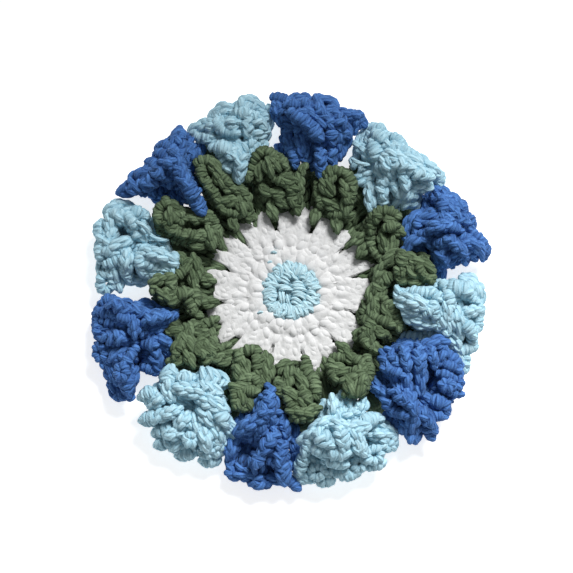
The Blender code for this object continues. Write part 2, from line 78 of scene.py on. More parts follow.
# A flower: its yarn, where its middle is and how high it is there, and its folds, counted anticlockwise.
# A fold: its direction, how far it reaches out, the height of its crest and of its rim, which part of the
# reach is lost in the notch between it and the next fold, and how much lower the valley between them is.
Flower = namedtuple("Flower", "yarn x y height folds")
Fold = namedtuple("Fold", "angle reach crest rim notch drop")
ROYAL = "yarn_royal_blue"
LIGHT = "yarn_light_blue"
GREEN = "yarn_green"
WHITE = "yarn_white"
FLOWERS = (
    Flower(ROYAL, 8, 59, 16, (
        Fold(18, 20.0, 16, 8, 0.24, 3), Fold(52, 14.3, 18, 9, 0.06, 2), Fold(75, 15.8, 18, 8, 0.14, 4),
        Fold(106, 14.6, 18, 8, 0.08, 3), Fold(134, 19.6, 17, 6, 0.38, 5), Fold(205, 13.2, 11, 4, 0.08, 2),
        Fold(240, 14.0, 12, 7.2, 0.26, 4), Fold(281, 16.0, 14, 7.2, 0.08, 3),
        Fold(313, 14.8, 11, 5, 0.06, 2), Fold(348, 14.0, 14, 5, 0.10, 3))),
    Flower(LIGHT, -20, 58, 12, (
        Fold(12, 11.6, 12, 5, 0.04, 2), Fold(37, 14.0, 13, 5, 0.14, 3), Fold(73, 15.4, 16, 6, 0.16, 4),
        Fold(118, 13.4, 16, 6, 0.14, 3), Fold(159, 15.2, 12, 5, 0.08, 2), Fold(187, 14.0, 9, 4, 0.14, 3),
        Fold(219, 11.4, 15, 9, 0.20, 2), Fold(270, 16.6, 15, 7.2, 0.30, 4),
        Fold(335, 11.2, 10, 5, 0.04, 2))),
    Flower(ROYAL, -44, 45, 18, (
        Fold(7, 8.0, 12, 6, 0.04, 1), Fold(51, 12.6, 15, 7, 0.10, 3), Fold(83, 15.6, 17, 6, 0.22, 4),
        Fold(124, 10.8, 15, 6, 0.06, 3), Fold(168, 10.0, 15, 6, 0.10, 2), Fold(199, 22.0, 16, 5, 0.22, 6),
        Fold(245, 12.0, 8, 5, 0.06, 1), Fold(282, 12.0, 8, 5, 0.04, 2),
        Fold(306, 17.6, 16, 7.2, 0.40, 4))),
    Flower(LIGHT, -62, 16, 11, (
        Fold(12, 13.0, 9, 5, 0.04, 1), Fold(42, 13.2, 15, 8, 0.05, 2), Fold(72, 15.2, 15, 8, 0.10, 3),
        Fold(104, 16.6, 14, 6, 0.12, 3), Fold(150, 13.8, 13, 4, 0.18, 3), Fold(190, 11.2, 14, 5, 0.06, 2),
        Fold(240, 18.0, 11, 4, 0.24, 4), Fold(275, 11.6, 14, 5, 0.20, 6), Fold(315, 14.2, 13, 7, 0.06, 2),
        Fold(346, 19.6, 14, 7.2, 0.22, 5))),
    Flower(ROYAL, -60, -17, 15, (
        Fold(28, 19.6, 15, 7.2, 0.12, 3), Fold(58, 12.6, 13, 6, 0.04, 2), Fold(122, 16.2, 16, 6, 0.06, 3),
        Fold(148, 16.2, 12, 4, 0.08, 3), Fold(172, 15.2, 12, 4, 0.16, 3),
        Fold(205, 15.8, 11, 3.6, 0.05, 2), Fold(234, 15.8, 11, 3.6, 0.05, 2),
        Fold(266, 24.0, 14, 5, 0.34, 5), Fold(300, 16.8, 13, 5, 0.06, 2),
        Fold(350, 15.2, 15, 7, 0.24, 6))),
    Flower(LIGHT, -37, -45, 11, (
        Fold(28, 14.6, 16, 8, 0.05, 2), Fold(61, 18.2, 17, 7.4, 0.27, 3), Fold(113, 17.8, 16, 8, 0.14, 3),
        Fold(162, 20.0, 14, 6, 0.12, 3), Fold(193, 18.2, 13, 5, 0.14, 3), Fold(235, 17.2, 12, 4, 0.10, 3),
        Fold(269, 18.0, 12, 3.6, 0.08, 3), Fold(294, 20.6, 12, 3.6, 0.10, 2),
        Fold(343, 16.8, 14, 7, 0.06, 2))),
    Flower(ROYAL, -11, -55, 17, (
        Fold(12, 13.2, 8, 5, 0.04, 1), Fold(47, 11.0, 14, 7.2, 0.04, 1), Fold(81, 19.4, 18, 8, 0.30, 3),
        Fold(131, 9.6, 15, 7, 0.02, 1), Fold(172, 8.8, 14, 8, 0.02, 5), Fold(207, 14.4, 12, 4, 0.06, 3),
        Fold(234, 17.4, 11, 3.6, 0.08, 2), Fold(268, 18.8, 12, 3.6, 0.14, 4),
        Fold(305, 19.8, 12, 3.6, 0.12, 2), Fold(340, 11.4, 13, 6, 0.02, 2))),
    Flower(LIGHT, 17, -56, 16, (
        Fold(0, 22.8, 11, 4, 0.08, 2), Fold(33, 17.0, 15, 7, 0.14, 3), Fold(58, 17.0, 13, 7, 0.08, 2),
        Fold(97, 17.6, 12, 7.4, 0.22, 3), Fold(140, 11.2, 13, 6, 0.04, 1),
        Fold(180, 12.0, 16, 8, 0.05, 2), Fold(212, 17.6, 12, 4, 0.06, 2),
        Fold(254, 17.6, 12, 3.6, 0.10, 2), Fold(290, 16.2, 12, 3.6, 0.08, 2),
        Fold(333, 19.8, 12, 3.6, 0.08, 2))),
    Flower(ROYAL, 48, -38, 10, (
        Fold(10, 17.0, 10, 4, 0.20, 2), Fold(38, 18.8, 12, 5, 0.10, 2), Fold(67, 20.6, 16, 9, 0.10, 2),
        Fold(112, 18.8, 17, 8, 0.05, 2), Fold(145, 18.8, 16, 7.4, 0.12, 3),
        Fold(176, 17.6, 13, 6, 0.14, 2), Fold(205, 14.8, 15, 6, 0.05, 2), Fold(250, 16.4, 14, 5, 0.05, 3),
        Fold(275, 17.2, 13, 4, 0.16, 2), Fold(325, 12.8, 10, 3.6, 0.06, 2))),
    Flower(LIGHT, 56, -8, 14, (
        Fold(0, 15.6, 14, 5, 0.12, 3), Fold(33, 17.8, 14, 5, 0.06, 2), Fold(60, 14.6, 14, 5, 0.10, 2),
        Fold(105, 11.0, 13, 5, 0.04, 1), Fold(136, 12.0, 14, 7, 0.04, 1),
        Fold(168, 17.2, 16, 7.4, 0.12, 2), Fold(216, 15.0, 9, 7, 0.20, 4), Fold(262, 9.6, 11, 5, 0.10, 1),
        Fold(297, 19.6, 9, 3.6, 0.10, 2), Fold(328, 16.8, 12, 4, 0.10, 3))),
    Flower(ROYAL, 57, 21, 16, (
        Fold(23, 12.4, 15, 6, 0.08, 2), Fold(60, 14.6, 15, 6, 0.10, 3), Fold(92, 17.4, 14, 5, 0.10, 2),
        Fold(122, 14.2, 12, 5, 0.16, 2), Fold(163, 14.2, 14, 6, 0.08, 3),
        Fold(196, 16.4, 14, 7.4, 0.14, 3), Fold(222, 11.8, 9, 5, 0.04, 1),
        Fold(264, 15.2, 10, 4, 0.06, 2), Fold(312, 13.6, 13, 5, 0.05, 2),
        Fold(341, 18.6, 14, 5, 0.20, 3))),
    Flower(LIGHT, 38, 46, 16, (
        Fold(35, 9.4, 16, 6, 0.03, 1), Fold(80, 12.4, 15, 5, 0.10, 2), Fold(111, 17.6, 15, 5, 0.08, 2),
        Fold(142, 16.0, 13, 5, 0.12, 3), Fold(174, 15.6, 11, 5, 0.10, 2), Fold(212, 13.4, 9, 7, 0.06, 1),
        Fold(246, 15.8, 12, 7.4, 0.14, 3), Fold(291, 16.0, 12, 5, 0.12, 4),
        Fold(345, 18.6, 15, 6, 0.22, 2))),
)

# The main creases: which flower, where the middle of the crease is, which way it runs, its size, and how
# far it rises above the folds there. Below zero it is a trough, such as a pit or the gap under a lobe.
Crease = namedtuple("Crease", "flower x y heading length width rise")
CREASES = (
    Crease(1, 13, 69, 60, 8, 6, -5), Crease(1, 4, 63, 145, 18, 7, 2), Crease(1, 0, 58, 10, 9, 4, -4),
    Crease(1, 8, 50, 90, 14, 4, -4), Crease(1, 20, 56, 75, 12, 3, -3),
    Crease(2, -25, 55.5, 5, 14, 3.5, -5), Crease(2, -20, 53.5, 130, 7, 3, -4),
    Crease(2, -15, 69, 20, 6, 3, -3), Crease(2, -22, 66, 0, 7, 3, -3),
    Crease(3, -48, 37, 20, 14, 6, -5), Crease(3, -42, 35, 80, 10, 5, -4),
    Crease(3, -56, 40, 15, 22, 7, 3), Crease(3, -37.5, 38, 117, 20, 6, 3),
    Crease(3, -43, 54, 80, 14, 8, 2),
    Crease(4, -62, 21.5, 160, 9, 5, -6), Crease(4, -58.5, 9, 85, 14, 3.5, -6),
    Crease(4, -50, 16.8, 0, 12, 3, -5), Crease(4, -50, 10.5, 0, 14, 8, 3),
    Crease(4, -69, 5, 70, 9, 3, -3),
    Crease(5, -55, -19.5, 20, 22, 3, -6), Crease(5, -57, -27.5, 60, 9, 5, -6),
    Crease(5, -68, -13, 170, 12, 3, -3), Crease(5, -53, -11, 160, 20, 8, 2),
    Crease(6, -37, -44, 120, 11, 5, -6), Crease(6, -46, -40, 60, 10, 3, -3),
    Crease(6, -29, -50, 60, 10, 3, -3), Crease(6, -42, -54, 100, 9, 3, -3),
    Crease(7, -16, -59.5, 20, 12, 6, -7), Crease(7, -9, -67.5, 70, 9, 4, -4),
    Crease(7, -8, -45, 80, 18, 8, 2), Crease(7, -7, -61, 110, 10, 6, 2),
    Crease(8, 21, -48.3, 5, 13, 3, -6), Crease(8, 20, -42, 0, 9, 6, -3),
    Crease(8, 15, -57, 10, 20, 14, 2), Crease(8, 8, -62.5, 150, 12, 3, -4),
    Crease(8, 20, -66, 10, 12, 3, -4), Crease(8, 28.5, -58, 70, 14, 3, -4),
    Crease(9, 51, -35, 80, 18, 6, -6), Crease(9, 56, -27, 45, 10, 3, -4),
    Crease(9, 43, -26, 20, 20, 11, 2), Crease(9, 41, -45, 120, 18, 10, 2),
    Crease(9, 36, -34, 150, 9, 3, -5),
    Crease(10, 47, -13.5, 170, 14, 4, -6), Crease(10, 64, -19, 110, 7, 5, -5),
    Crease(10, 65, -7, 20, 8, 4, -4), Crease(10, 58, -15.5, 170, 10, 3, -3),
    Crease(10, 48, -5, 0, 16, 9, 2),
    Crease(11, 51, 12.5, 60, 12, 6, -5), Crease(11, 47, 16, 20, 8, 4, -4),
    Crease(11, 52, 32, 60, 9, 4, -4), Crease(11, 64, 22.5, 160, 10, 3, -3),
    Crease(11, 60, 16, 150, 18, 7, 2),
    Crease(12, 37, 36, 85, 12, 3.5, -5), Crease(12, 26, 51, 120, 7, 5, -4),
    Crease(12, 33, 42.5, 0, 9, 3, -3), Crease(12, 36, 54.5, 0, 11, 3, -3),
    Crease(12, 47, 44, 165, 18, 8, 2),
)

LOWEST_MIDDLE = 3.6      # the middle of a flower's sheet is never nearer to the table than this
CREASE_FADE = 4          # creases run out towards the rim, with this power of the way out
CREST_AT = 0.56          # how far out a fold is highest, as a part of its reach
VALLEY_POWER = 1.5       # over 1: folds are round on top and the valleys between them are sharp
LEAF_POWER = 2.5         # a leaf's outline is a rounded oblong
LEAF_DROOP = 2.2         # how far its edge hangs below its back
POCKET_WIDTH = 0.4       # the dent in a leaf's back, as a part of its size


def smoothstep(value):
    value = np.clip(value, 0.0, 1.0)
    return value * value * (3.0 - 2.0 * value)


def valley(part):
    """0 on a fold, 1 half way to the next one."""
    return (1.0 - np.abs(2.0 * part - 1.0)) ** VALLEY_POWER


def fold_ray(folds, turn):
    """Direction, reach, crest and rim at a turn counted in folds: 2.5 is half way from fold 2 to fold 3."""
    table = np.array(folds, dtype=float)
    count = len(table)
    first = np.floor(turn).astype(int) % count
    second = (first + 1) % count
    part = turn - np.floor(turn)
    here, following = table[first], table[second]
    start, end = here[..., 0], following[..., 0] + np.where(second == 0, 360.0, 0.0)
    ease = smoothstep(part)[..., None]
    reach, crest, rim = np.moveaxis((1.0 - ease) * here[..., 1:4] + ease * following[..., 1:4], -1, 0)
    low = valley(part)
    notch, drop = here[..., 4] * low, here[..., 5] * low
    direction = np.radians(start + (end - start) * part)
    return direction, reach * (1.0 - notch), crest - drop, rim


def crease_rise(crease, x, y):
    heading = math.radians(crease.heading)
    along = (x - crease.x) * math.cos(heading) + (y - crease.y) * math.sin(heading)
    across = (y - crease.y) * math.cos(heading) - (x - crease.x) * math.sin(heading)
    return crease.rise * np.exp(-((2.0 * along / crease.length) ** 2) - (2.0 * across / crease.width) ** 2)


def flower_surface(flower, creases, turn, out):
    """The middle of a flower's sheet at a turn (in folds) and a part of the way out, in millimetres."""
    direction, reach, crest, rim = fold_ray(flower.folds, turn)
    rise = smoothstep(out / CREST_AT)
    fall = (np.maximum(out - CREST_AT, 0.0) / (1.0 - CREST_AT)) ** 2
    height = flower.height + (crest - flower.height) * rise - (crest - rim) * fall
    x = flower.x + out * reach * np.cos(direction)
    y = flower.y + out * reach * np.sin(direction)
    for crease in creases:
        height = height + crease_rise(crease, x, y) * (1.0 - out ** CREASE_FADE)
    return np.stack([x, y, np.maximum(height, LOWEST_MIDDLE)], axis=-1)


def leaf_surface(leaf, turn, out):
    """The middle of a leaf's sheet; turn runs from 0 to 1 round its outline."""
    around = 2.0 * math.pi * turn
    along, across = np.cos(around), np.sin(around)
    oblong = np.abs(along / leaf.length * 2.0) ** LEAF_POWER + np.abs(across / leaf.width * 2.0) ** LEAF_POWER
    reach = oblong ** (-1.0 / LEAF_POWER)
    along, across = along * reach * out, across * reach * out
    climb = smoothstep(along / leaf.length + 0.5)
    height = leaf.heel + (leaf.tip - leaf.heel) * climb
    height = height - LEAF_DROOP * out ** 3 * climb - leaf.dent * np.exp(-((out / POCKET_WIDTH) ** 2))
    heading, place = math.radians(leaf.heading), math.radians(leaf.angle)
    x = leaf.radius * math.cos(place) + along * math.cos(heading) - across * math.sin(heading)
    y = leaf.radius * math.sin(place) + along * math.sin(heading) + across * math.cos(heading)
    return np.stack([x, y, height], axis=-1)


# ---------------------------------------------------------------- yarn

YARN_RADIUS = 1.18       # the cotton yarn is about 2.4 mm thick
PLY_TURN_MM = 26.0       # one twist of the yarn
PLIES = 6
NEAR = 0.01              # a step along a line or over a sheet, as a part of it, to see which way it runs
UP = np.array([0.0, 0.0, 1.0])

# A strand of a stitch: its points, each as (along the round, out from the middle, up from the sheet).
# The first two are parts of the stitch's width and of the round's height, the third is in millimetres.
POST_LEFT = (
    (0.04, -0.10, -1.0), (-0.10, 0.10, 0.45), (-0.28, 0.45, 1.05), (-0.30, 0.80, 0.65), (-0.12, 1.05, -0.9))
POST_RIGHT = (
    (-0.04, -0.06, -1.4), (0.12, 0.14, 0.10), (0.27, 0.48, 0.85), (0.30, 0.84, 0.55), (0.14, 1.08, -1.0))
WRAP = ((-0.42, 0.30, -0.9), (-0.18, 0.38, 1.3), (0.14, 0.52, 1.9), (0.40, 0.62, 0.9), (0.52, 0.66, -0.9))
EDGE_TOP = (
    (-0.60, 0.97, -0.3), (-0.30, 0.97, 0.85), (0.10, 1.00, 1.05), (0.40, 1.04, 0.55), (0.60, 1.03, -0.5))
EDGE_LOW = (
    (-0.60, 1.02, 0.2), (-0.30, 1.05, -0.55), (0.10, 1.03, -1.05), (0.40, 0.98, -0.85), (0.60, 0.97, 0.3))
BACK_LEFT = ((0.02, -0.05, 0.4), (-0.22, 0.30, -0.95), (-0.24, 0.70, -0.95), (-0.04, 1.04, 0.5))
BACK_RIGHT = ((0.04, -0.05, 0.5), (0.26, 0.32, -0.75), (0.22, 0.72, -0.90), (0.06, 1.04, 0.4))
PUFF_LEFT = (
    (0.06, -0.10, -0.9), (-0.12, 0.14, 0.30), (-0.29, 0.48, 0.65), (-0.28, 0.82, 0.35), (-0.04, 1.08, -0.9))
PUFF_RIGHT = (
    (0.00, -0.04, -1.0), (0.16, 0.18, 0.20), (0.30, 0.50, 0.60), (0.26, 0.84, 0.30), (0.06, 1.08, -1.0))
POSTS = (POST_LEFT, POST_RIGHT)
EDGE = (EDGE_TOP, EDGE_LOW)
BACK = (BACK_LEFT, BACK_RIGHT)
PUFFS = (PUFF_LEFT, PUFF_RIGHT)

# Rounds of stitches on a sheet: from which to which part of the way out, how wide a stitch is and where on
# the way out that is measured, its strands, how much darker its yarn is painted as painted shade, and how
# finely each strand is divided along and around.
UNDER_PAINTED_SHADE = 0.7         # painted shade: the stitches between the lobes are coloured as if this much deeper down
Round = namedtuple("Round", "low high pitch measure strands dark steps sides", defaults=(0.0, 6, 6))
FLOWER_ROUNDS = (
    Round(0.04, 0.30, 3.6, 0.28, POSTS, UNDER_PAINTED_SHADE), Round(0.28, 0.60, 4.6, 0.50, (*POSTS, WRAP), UNDER_PAINTED_SHADE),
    Round(0.50, 0.86, 5.0, 0.80, POSTS, UNDER_PAINTED_SHADE), Round(0.56, 0.90, 4.6, 0.98, EDGE),
    Round(0.10, 0.50, 5.5, 0.40, BACK, 0.0, 4, 5), Round(0.48, 0.98, 5.5, 0.80, BACK, 0.0, 4, 5),
)
LEAF_ROUNDS = (
    Round(0.06, 0.50, 4.2, 0.45, POSTS, UNDER_PAINTED_SHADE), Round(0.48, 0.90, 4.4, 0.80, POSTS, UNDER_PAINTED_SHADE),
    Round(0.60, 0.92, 4.6, 0.98, (EDGE_LOW,)), Round(0.20, 0.98, 5.5, 0.70, BACK, 0.0, 4, 5),
)
GREEN_ROUNDS = (
    Round(0.02, 0.36, 5.0, 0.19, POSTS), Round(0.34, 0.68, 5.0, 0.51, POSTS),
    Round(0.66, 1.00, 5.0, 0.83, POSTS),
)
DISC_ROUND = Round(0.55, 1.00, 3.4, 0.90, PUFFS, 0.0, 8, 8)
DISC_BACK = Round(0.10, 0.98, 5.0, 0.70, BACK, 0.0, 4, 5)
WHITE_BACK = Round(0.10, 0.96, 5.6, 0.50, BACK, 0.0, 4, 5)


def unit(vectors):
    return vectors / np.maximum(np.linalg.norm(vectors, axis=-1, keepdims=True), 1e-9)


def line_at(line, place, closed=False):
    """Points of a smooth line through its own points, place from 0 to 1. It also takes many lines at once,
    as (points, lines, values)."""
    line = np.asarray(line, float)
    count = len(line)
    if closed:
        at = np.mod(place, 1.0) * count
        first = np.floor(at).astype(int)
        near = (line[(first + step) % count] for step in (-1, 0, 1, 2))
    else:
        padded = np.concatenate([2 * line[:1] - line[1:2], line, 2 * line[-1:] - line[-2:-1]])
        at = place * (count - 1.0)
        first = np.clip(np.floor(at).astype(int), 0, count - 2)
        near = (padded[first + step] for step in range(4))
    part = (at - first).reshape(at.shape + (1,) * (line.ndim - 1))
    p0, p1, p2, p3 = near
    return 0.5 * (2 * p1 + (p2 - p0) * part + (2 * p0 - 5 * p1 + 4 * p2 - p3) * part ** 2
                  + (3 * p1 - p0 - 3 * p2 + p3) * part ** 3)


def line_frame(line, place, closed=False):
    """Points of a line, and there the directions up and to the side of it."""
    here = line_at(line, place, closed)
    ahead = unit(line_at(line, place + NEAR, closed) - line_at(line, place - NEAR, closed))
    side = unit(np.cross(ahead, UP))
    return here, np.cross(side, ahead), side


def path_length(points):
    return np.linalg.norm(np.diff(points, axis=0), axis=1).sum()


def tube_frames(centre):
    """The directions along every strand and across it, twisted as little as its path allows."""
    along = unit(np.gradient(centre, axis=1))
    normal = unit(np.cross(along[:, 0], np.array([0.31, 0.52, 0.79])))
    normals = []
    for ring in range(centre.shape[1]):
        axis = along[:, ring]
        normal = unit(normal - axis * np.sum(normal * axis, axis=1, keepdims=True))
        normals.append(normal)
    normals = np.stack(normals, axis=1)
    return along, normals, np.cross(along, normals)


def tube_faces(rings, sides):
    """The sides and the end caps of a tube; its two tips are its last two points."""
    ring, side = np.meshgrid(np.arange(rings - 1), np.arange(sides), indexing="ij")
    after = (side + 1) % sides
    quads = np.stack([ring * sides + side, (ring + 1) * sides + side,
                      (ring + 1) * sides + after, ring * sides + after], axis=-1).reshape(-1, 4)
    side, after, tip = np.arange(sides), (np.arange(sides) + 1) % sides, np.full(sides, rings * sides)
    last = (rings - 1) * sides
    start = np.stack([tip, side, after], axis=-1)
    end = np.stack([tip + 1, last + after, last + side], axis=-1)
    return quads, np.concatenate([start, end])


class Yarn:
    """Collects strands of yarn and makes them one mesh."""

    def __init__(self, name, seed):
        self.name = name
        self.random = np.random.default_rng(seed)
        self.points, self.quads, self.caps, self.places, self.deep, self.tone = [], [], [], [], [], []
        self.count = 0

    def add(self, controls, radius=YARN_RADIUS, steps=8, sides=8, plies=1.0):
        """Strands through points: (strands, points, 4), the fourth value is the height above the sheet, which
        also
        sets their painted shade: the lower, the darker.
        """
        controls = np.asarray(controls, float)
        lines = np.moveaxis(line_at(np.moveaxis(controls, 1, 0), np.linspace(0.0, 1.0, steps + 1)), 0, 1)
        centre, height = lines[:, :, :3].copy(), lines[:, :, 3]
        strands, rings = height.shape
        full = 0.80 + 0.20 * np.sin(math.pi * np.linspace(0.0, 1.0, rings)) ** 0.7
        full[0] = full[-1] = 0.5
        radius = np.asarray(radius, float)
        thick = (radius if radius.ndim == 2 else np.broadcast_to(radius, (strands,))[:, None]) * full
        centre[:, :, 2] = np.maximum(centre[:, :, 2], thick * 0.98)
        along, normals, side = tube_frames(centre)
        turn = (np.arange(sides) * 2.0 * math.pi / sides)[:, None]
        shell = centre[:, :, None] + thick[:, :, None, None] * (
            np.cos(turn) * normals[:, :, None] + np.sin(turn) * side[:, :, None])
        tips = np.stack([centre[:, 0] - along[:, 0] * thick[:, :1] * 0.5,
                         centre[:, -1] + along[:, -1] * thick[:, -1:] * 0.5], axis=1)
        each = rings * sides + 2
        self.points.append(np.concatenate([shell.reshape(strands, -1, 3), tips], axis=1).reshape(-1, 3))

        quads, caps = tube_faces(rings, sides)
        base = self.count + np.arange(strands)[:, None, None] * each
        self.quads.append((base + quads).reshape(-1, 4))
        self.caps.append((base + caps).reshape(-1, 3))

        length = np.zeros((strands, rings))
        length[:, 1:] = np.cumsum(np.linalg.norm(np.diff(centre, axis=1), axis=2), axis=1)
        length += self.random.uniform(0.0, 50.0, (strands, 1))
        around = plies * (quads[:, :1] % sides + np.array([0, 0, 1, 1])) / sides
        around = np.broadcast_to(around, (strands, *around.shape))
        self.places.append(np.stack([length[:, quads // sides], around], axis=-1).reshape(-1, 2))

        # Painted shade: the fourth value is kept for every point, and the colour is darker where it is low.
        deep = np.concatenate([np.repeat(height, sides, axis=1), height[:, [0, -1]]], axis=1)
        self.deep.append(deep.reshape(-1))
        self.tone.append(np.repeat(self.random.uniform(0.0, 1.0, strands), each))
        self.count += strands * each

    def build(self, material, slot):
        """One mesh of all strands, as a piece on the coaster's body."""
        points, quads, caps = (np.concatenate(parts) for parts in (self.points, self.quads, self.caps))
        sizes = np.concatenate([np.full(len(quads), 4), np.full(len(caps), 3)])
        starts = np.concatenate([[0], np.cumsum(sizes)[:-1]])
        loops = np.concatenate([quads.ravel(), caps.ravel()])
        mesh = bpy.data.meshes.new(self.name)
        mesh.vertices.add(len(points))
        mesh.vertices.foreach_set("co", (points * MM).astype(np.float32).ravel())
        mesh.loops.add(len(loops))
        mesh.loops.foreach_set("vertex_index", loops.astype(np.int32))
        mesh.polygons.add(len(sizes))
        mesh.polygons.foreach_set("loop_start", starts.astype(np.int32))
        mesh.polygons.foreach_set("loop_total", sizes.astype(np.int32))
        mesh.update(calc_edges=True)
        mesh.validate()
        places = np.concatenate(self.places + [np.zeros((caps.size, 2))])
        mesh.uv_layers.new(name="Yarn").data.foreach_set("uv", places.astype(np.float32).ravel())
        for label, values in (("deep", self.deep), ("tone", self.tone)):
            attribute = mesh.attributes.new(label, "FLOAT", "POINT")
            attribute.data.foreach_set("value", np.concatenate(values).astype(np.float32))
        mesh.materials.append(material)
        mesh.shade_smooth()
        thing = bpy.data.objects.new(self.name, mesh)
        bpy.context.scene.collection.objects.link(thing)
        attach(thing, "root")
        return thing


def lift(surface, turn, out, up):
    """Points at a height above a sheet, and that height as the fourth value."""
    across = surface(turn + NEAR, out) - surface(turn - NEAR, out)
    outward = surface(turn, out + NEAR) - surface(turn, out - NEAR)
    normal = unit(np.cross(across, outward))
    normal *= np.where(normal[..., 2:] < 0, -1.0, 1.0)
    return np.concatenate([surface(turn, out) + normal * up[..., None], up[..., None]], axis=-1)


def ring_places(surface, span, out, pitch):
    """Turns at which stitches of a round stand, equally far apart along the sheet."""
    fine = np.linspace(0.0, span, 721)
    line = surface(fine, np.full_like(fine, out))
    length = np.append(0.0, np.cumsum(np.linalg.norm(np.diff(line, axis=0), axis=1)))
    count = max(3, int(round(length[-1] / pitch)))
    return np.interp(np.arange(count) / count * length[-1], length, fine)


def stitch_round(yarn, surface, span, row, jitter=0.06, radius=YARN_RADIUS):
    """A round of stitches on a sheet; span is a whole turn of it, jitter how unevenly the stitches lie."""
    places = ring_places(surface, span, row.measure, row.pitch)
    widths = np.diff(np.append(places, places[0] + span))
    random = yarn.random
    offset = random.uniform(0, 1)
    for strand in row.strands:
        shape = np.array(strand)[None].repeat(len(places), 0)
        shape = shape + random.normal(0.0, 1.0, shape.shape) * np.array([jitter, jitter * 0.7, jitter * 2.0])
        shape[:, :, 0] += random.normal(0, jitter * 0.8, (len(places), 1))
        shape[:, :, 1] += random.normal(0, jitter * 0.8, (len(places), 1))
        turn = places[:, None] + (shape[:, :, 0] + offset) * widths[:, None]
        out = row.low + shape[:, :, 1] * (row.high - row.low)
        controls = lift(surface, turn, out, shape[:, :, 2])
        # Painted shade: the round's stitches are coloured as if they lay this much lower.
        controls[..., 3] -= row.dark
        yarn.add(controls, radius * random.uniform(0.92, 1.08, len(places)), row.steps, row.sides)


# ---------------------------------------------------------------- lobes

# A stitch that lies across a rolled edge or a fold: each point is (angle round the roll in units of its
# half turn, along the roll in stitches, up in millimetres).
LEG_LEFT = (
    (-1.00, -0.55, -0.5), (-0.70, -0.30, 0.0), (-0.30, 0.10, 0.45), (0.05, 0.50, 0.35), (0.22, 0.85, -1.0))
LEG_RIGHT = (
    (1.00, -0.05, -0.5), (0.70, 0.20, 0.0), (0.30, 0.60, 0.45), (-0.05, 1.00, 0.35), (-0.22, 1.35, -1.0))
RUNG = ((-1.00, -0.25, -0.5), (-0.55, -0.10, 0.1), (0.00, 0.05, 0.5), (0.55, 0.15, 0.1), (1.00, 0.25, -0.5))
PLAIT = (LEG_LEFT, LEG_RIGHT)
# The two strands over the end of a roll: angle and height as above, and place in widths from the end.
TIP_ANGLES = ((-0.75, -0.62, 0.0, 0.62, 0.75), (-0.30, -0.15, 0.0, 0.15, 0.30))
TIP_PLACES = ((-0.55, -0.14, 0.04, -0.14, -0.55), (-0.60, -0.30, -0.04, 0.06, 0.08))
TIP_HEIGHTS = ((-0.6, 0.1, 0.0, 0.1, -0.6), (-0.8, 0.4, 0.7, -0.3, -1.5))
# A short strand that lies along a crest: place in its own length, and height in millimetres.
SHORT_PLACES = np.array([0.0, 0.22, 0.5, 0.78, 1.0])
SHORT_HEIGHTS = np.array([-1.15, 0.05, 0.4, 0.1, -1.15])
SHORT_LENGTH = 5.2
ROLL_TURN = math.radians(112.0)      # how far round a roll its stitches reach, to each side
BUNDLE_TURN = math.radians(84.0)     # the same for strands that lie along a crest
CORE_SHARE = 0.55        # how much of a strand's thickness the tube under it takes up
CORE_PAINTED_SHADE = -0.1         # the height that sets that tube's painted shade
JITTER = 0.07            # how unevenly stitches lie, in stitches
SHEET_HALF = 1.5         # leaves and flowers are 3 mm thick in the CAD
GRIP = 0.6               # the strands' middles lie this much of their radius inside a lobe's width


def round_end(place, length, width, taper):
    """How full a lobe is there: round at both ends, a little narrower towards them."""
    end = np.clip(np.abs(2.0 * place - 1.0), 0.0, 1.0)
    inside = np.clip((1.0 - end) * length / width + 0.12, 0.0, 1.0)
    return (1.0 - (1.0 - taper) * end ** 4) * np.maximum(0.4, np.sqrt(1.0 - (1.0 - inside) ** 2))


def core(yarn, line, half, radius, closed=False, taper=0.8):
    """The work under the strands of a lobe: a soft tube that they lie on."""
    places = np.linspace(0.0, 1.0, 17 if closed else 9)
    steps = 28 if closed else 14
    here, normal, _ = line_frame(line, places, closed)
    shrink = np.ones(len(places))
    if not closed:
        shrink = round_end(places, path_length(here), 2.0 * half + 1.2 * radius, taper)
    axis = here - (half * shrink)[:, None] * normal
    if not closed:
        axis[0] += (axis[1] - axis[0]) * 0.35
        axis[-1] += (axis[-2] - axis[-1]) * 0.35
    full = (half + CORE_SHARE * radius) * np.interp(np.linspace(0.0, 1.0, steps + 1), places, shrink)
    height = np.full((len(places), 1), CORE_PAINTED_SHADE)
    yarn.add(np.concatenate([axis, height], axis=1)[None], full[None], steps, sides=9,
             plies=round(full.max() / YARN_RADIUS))


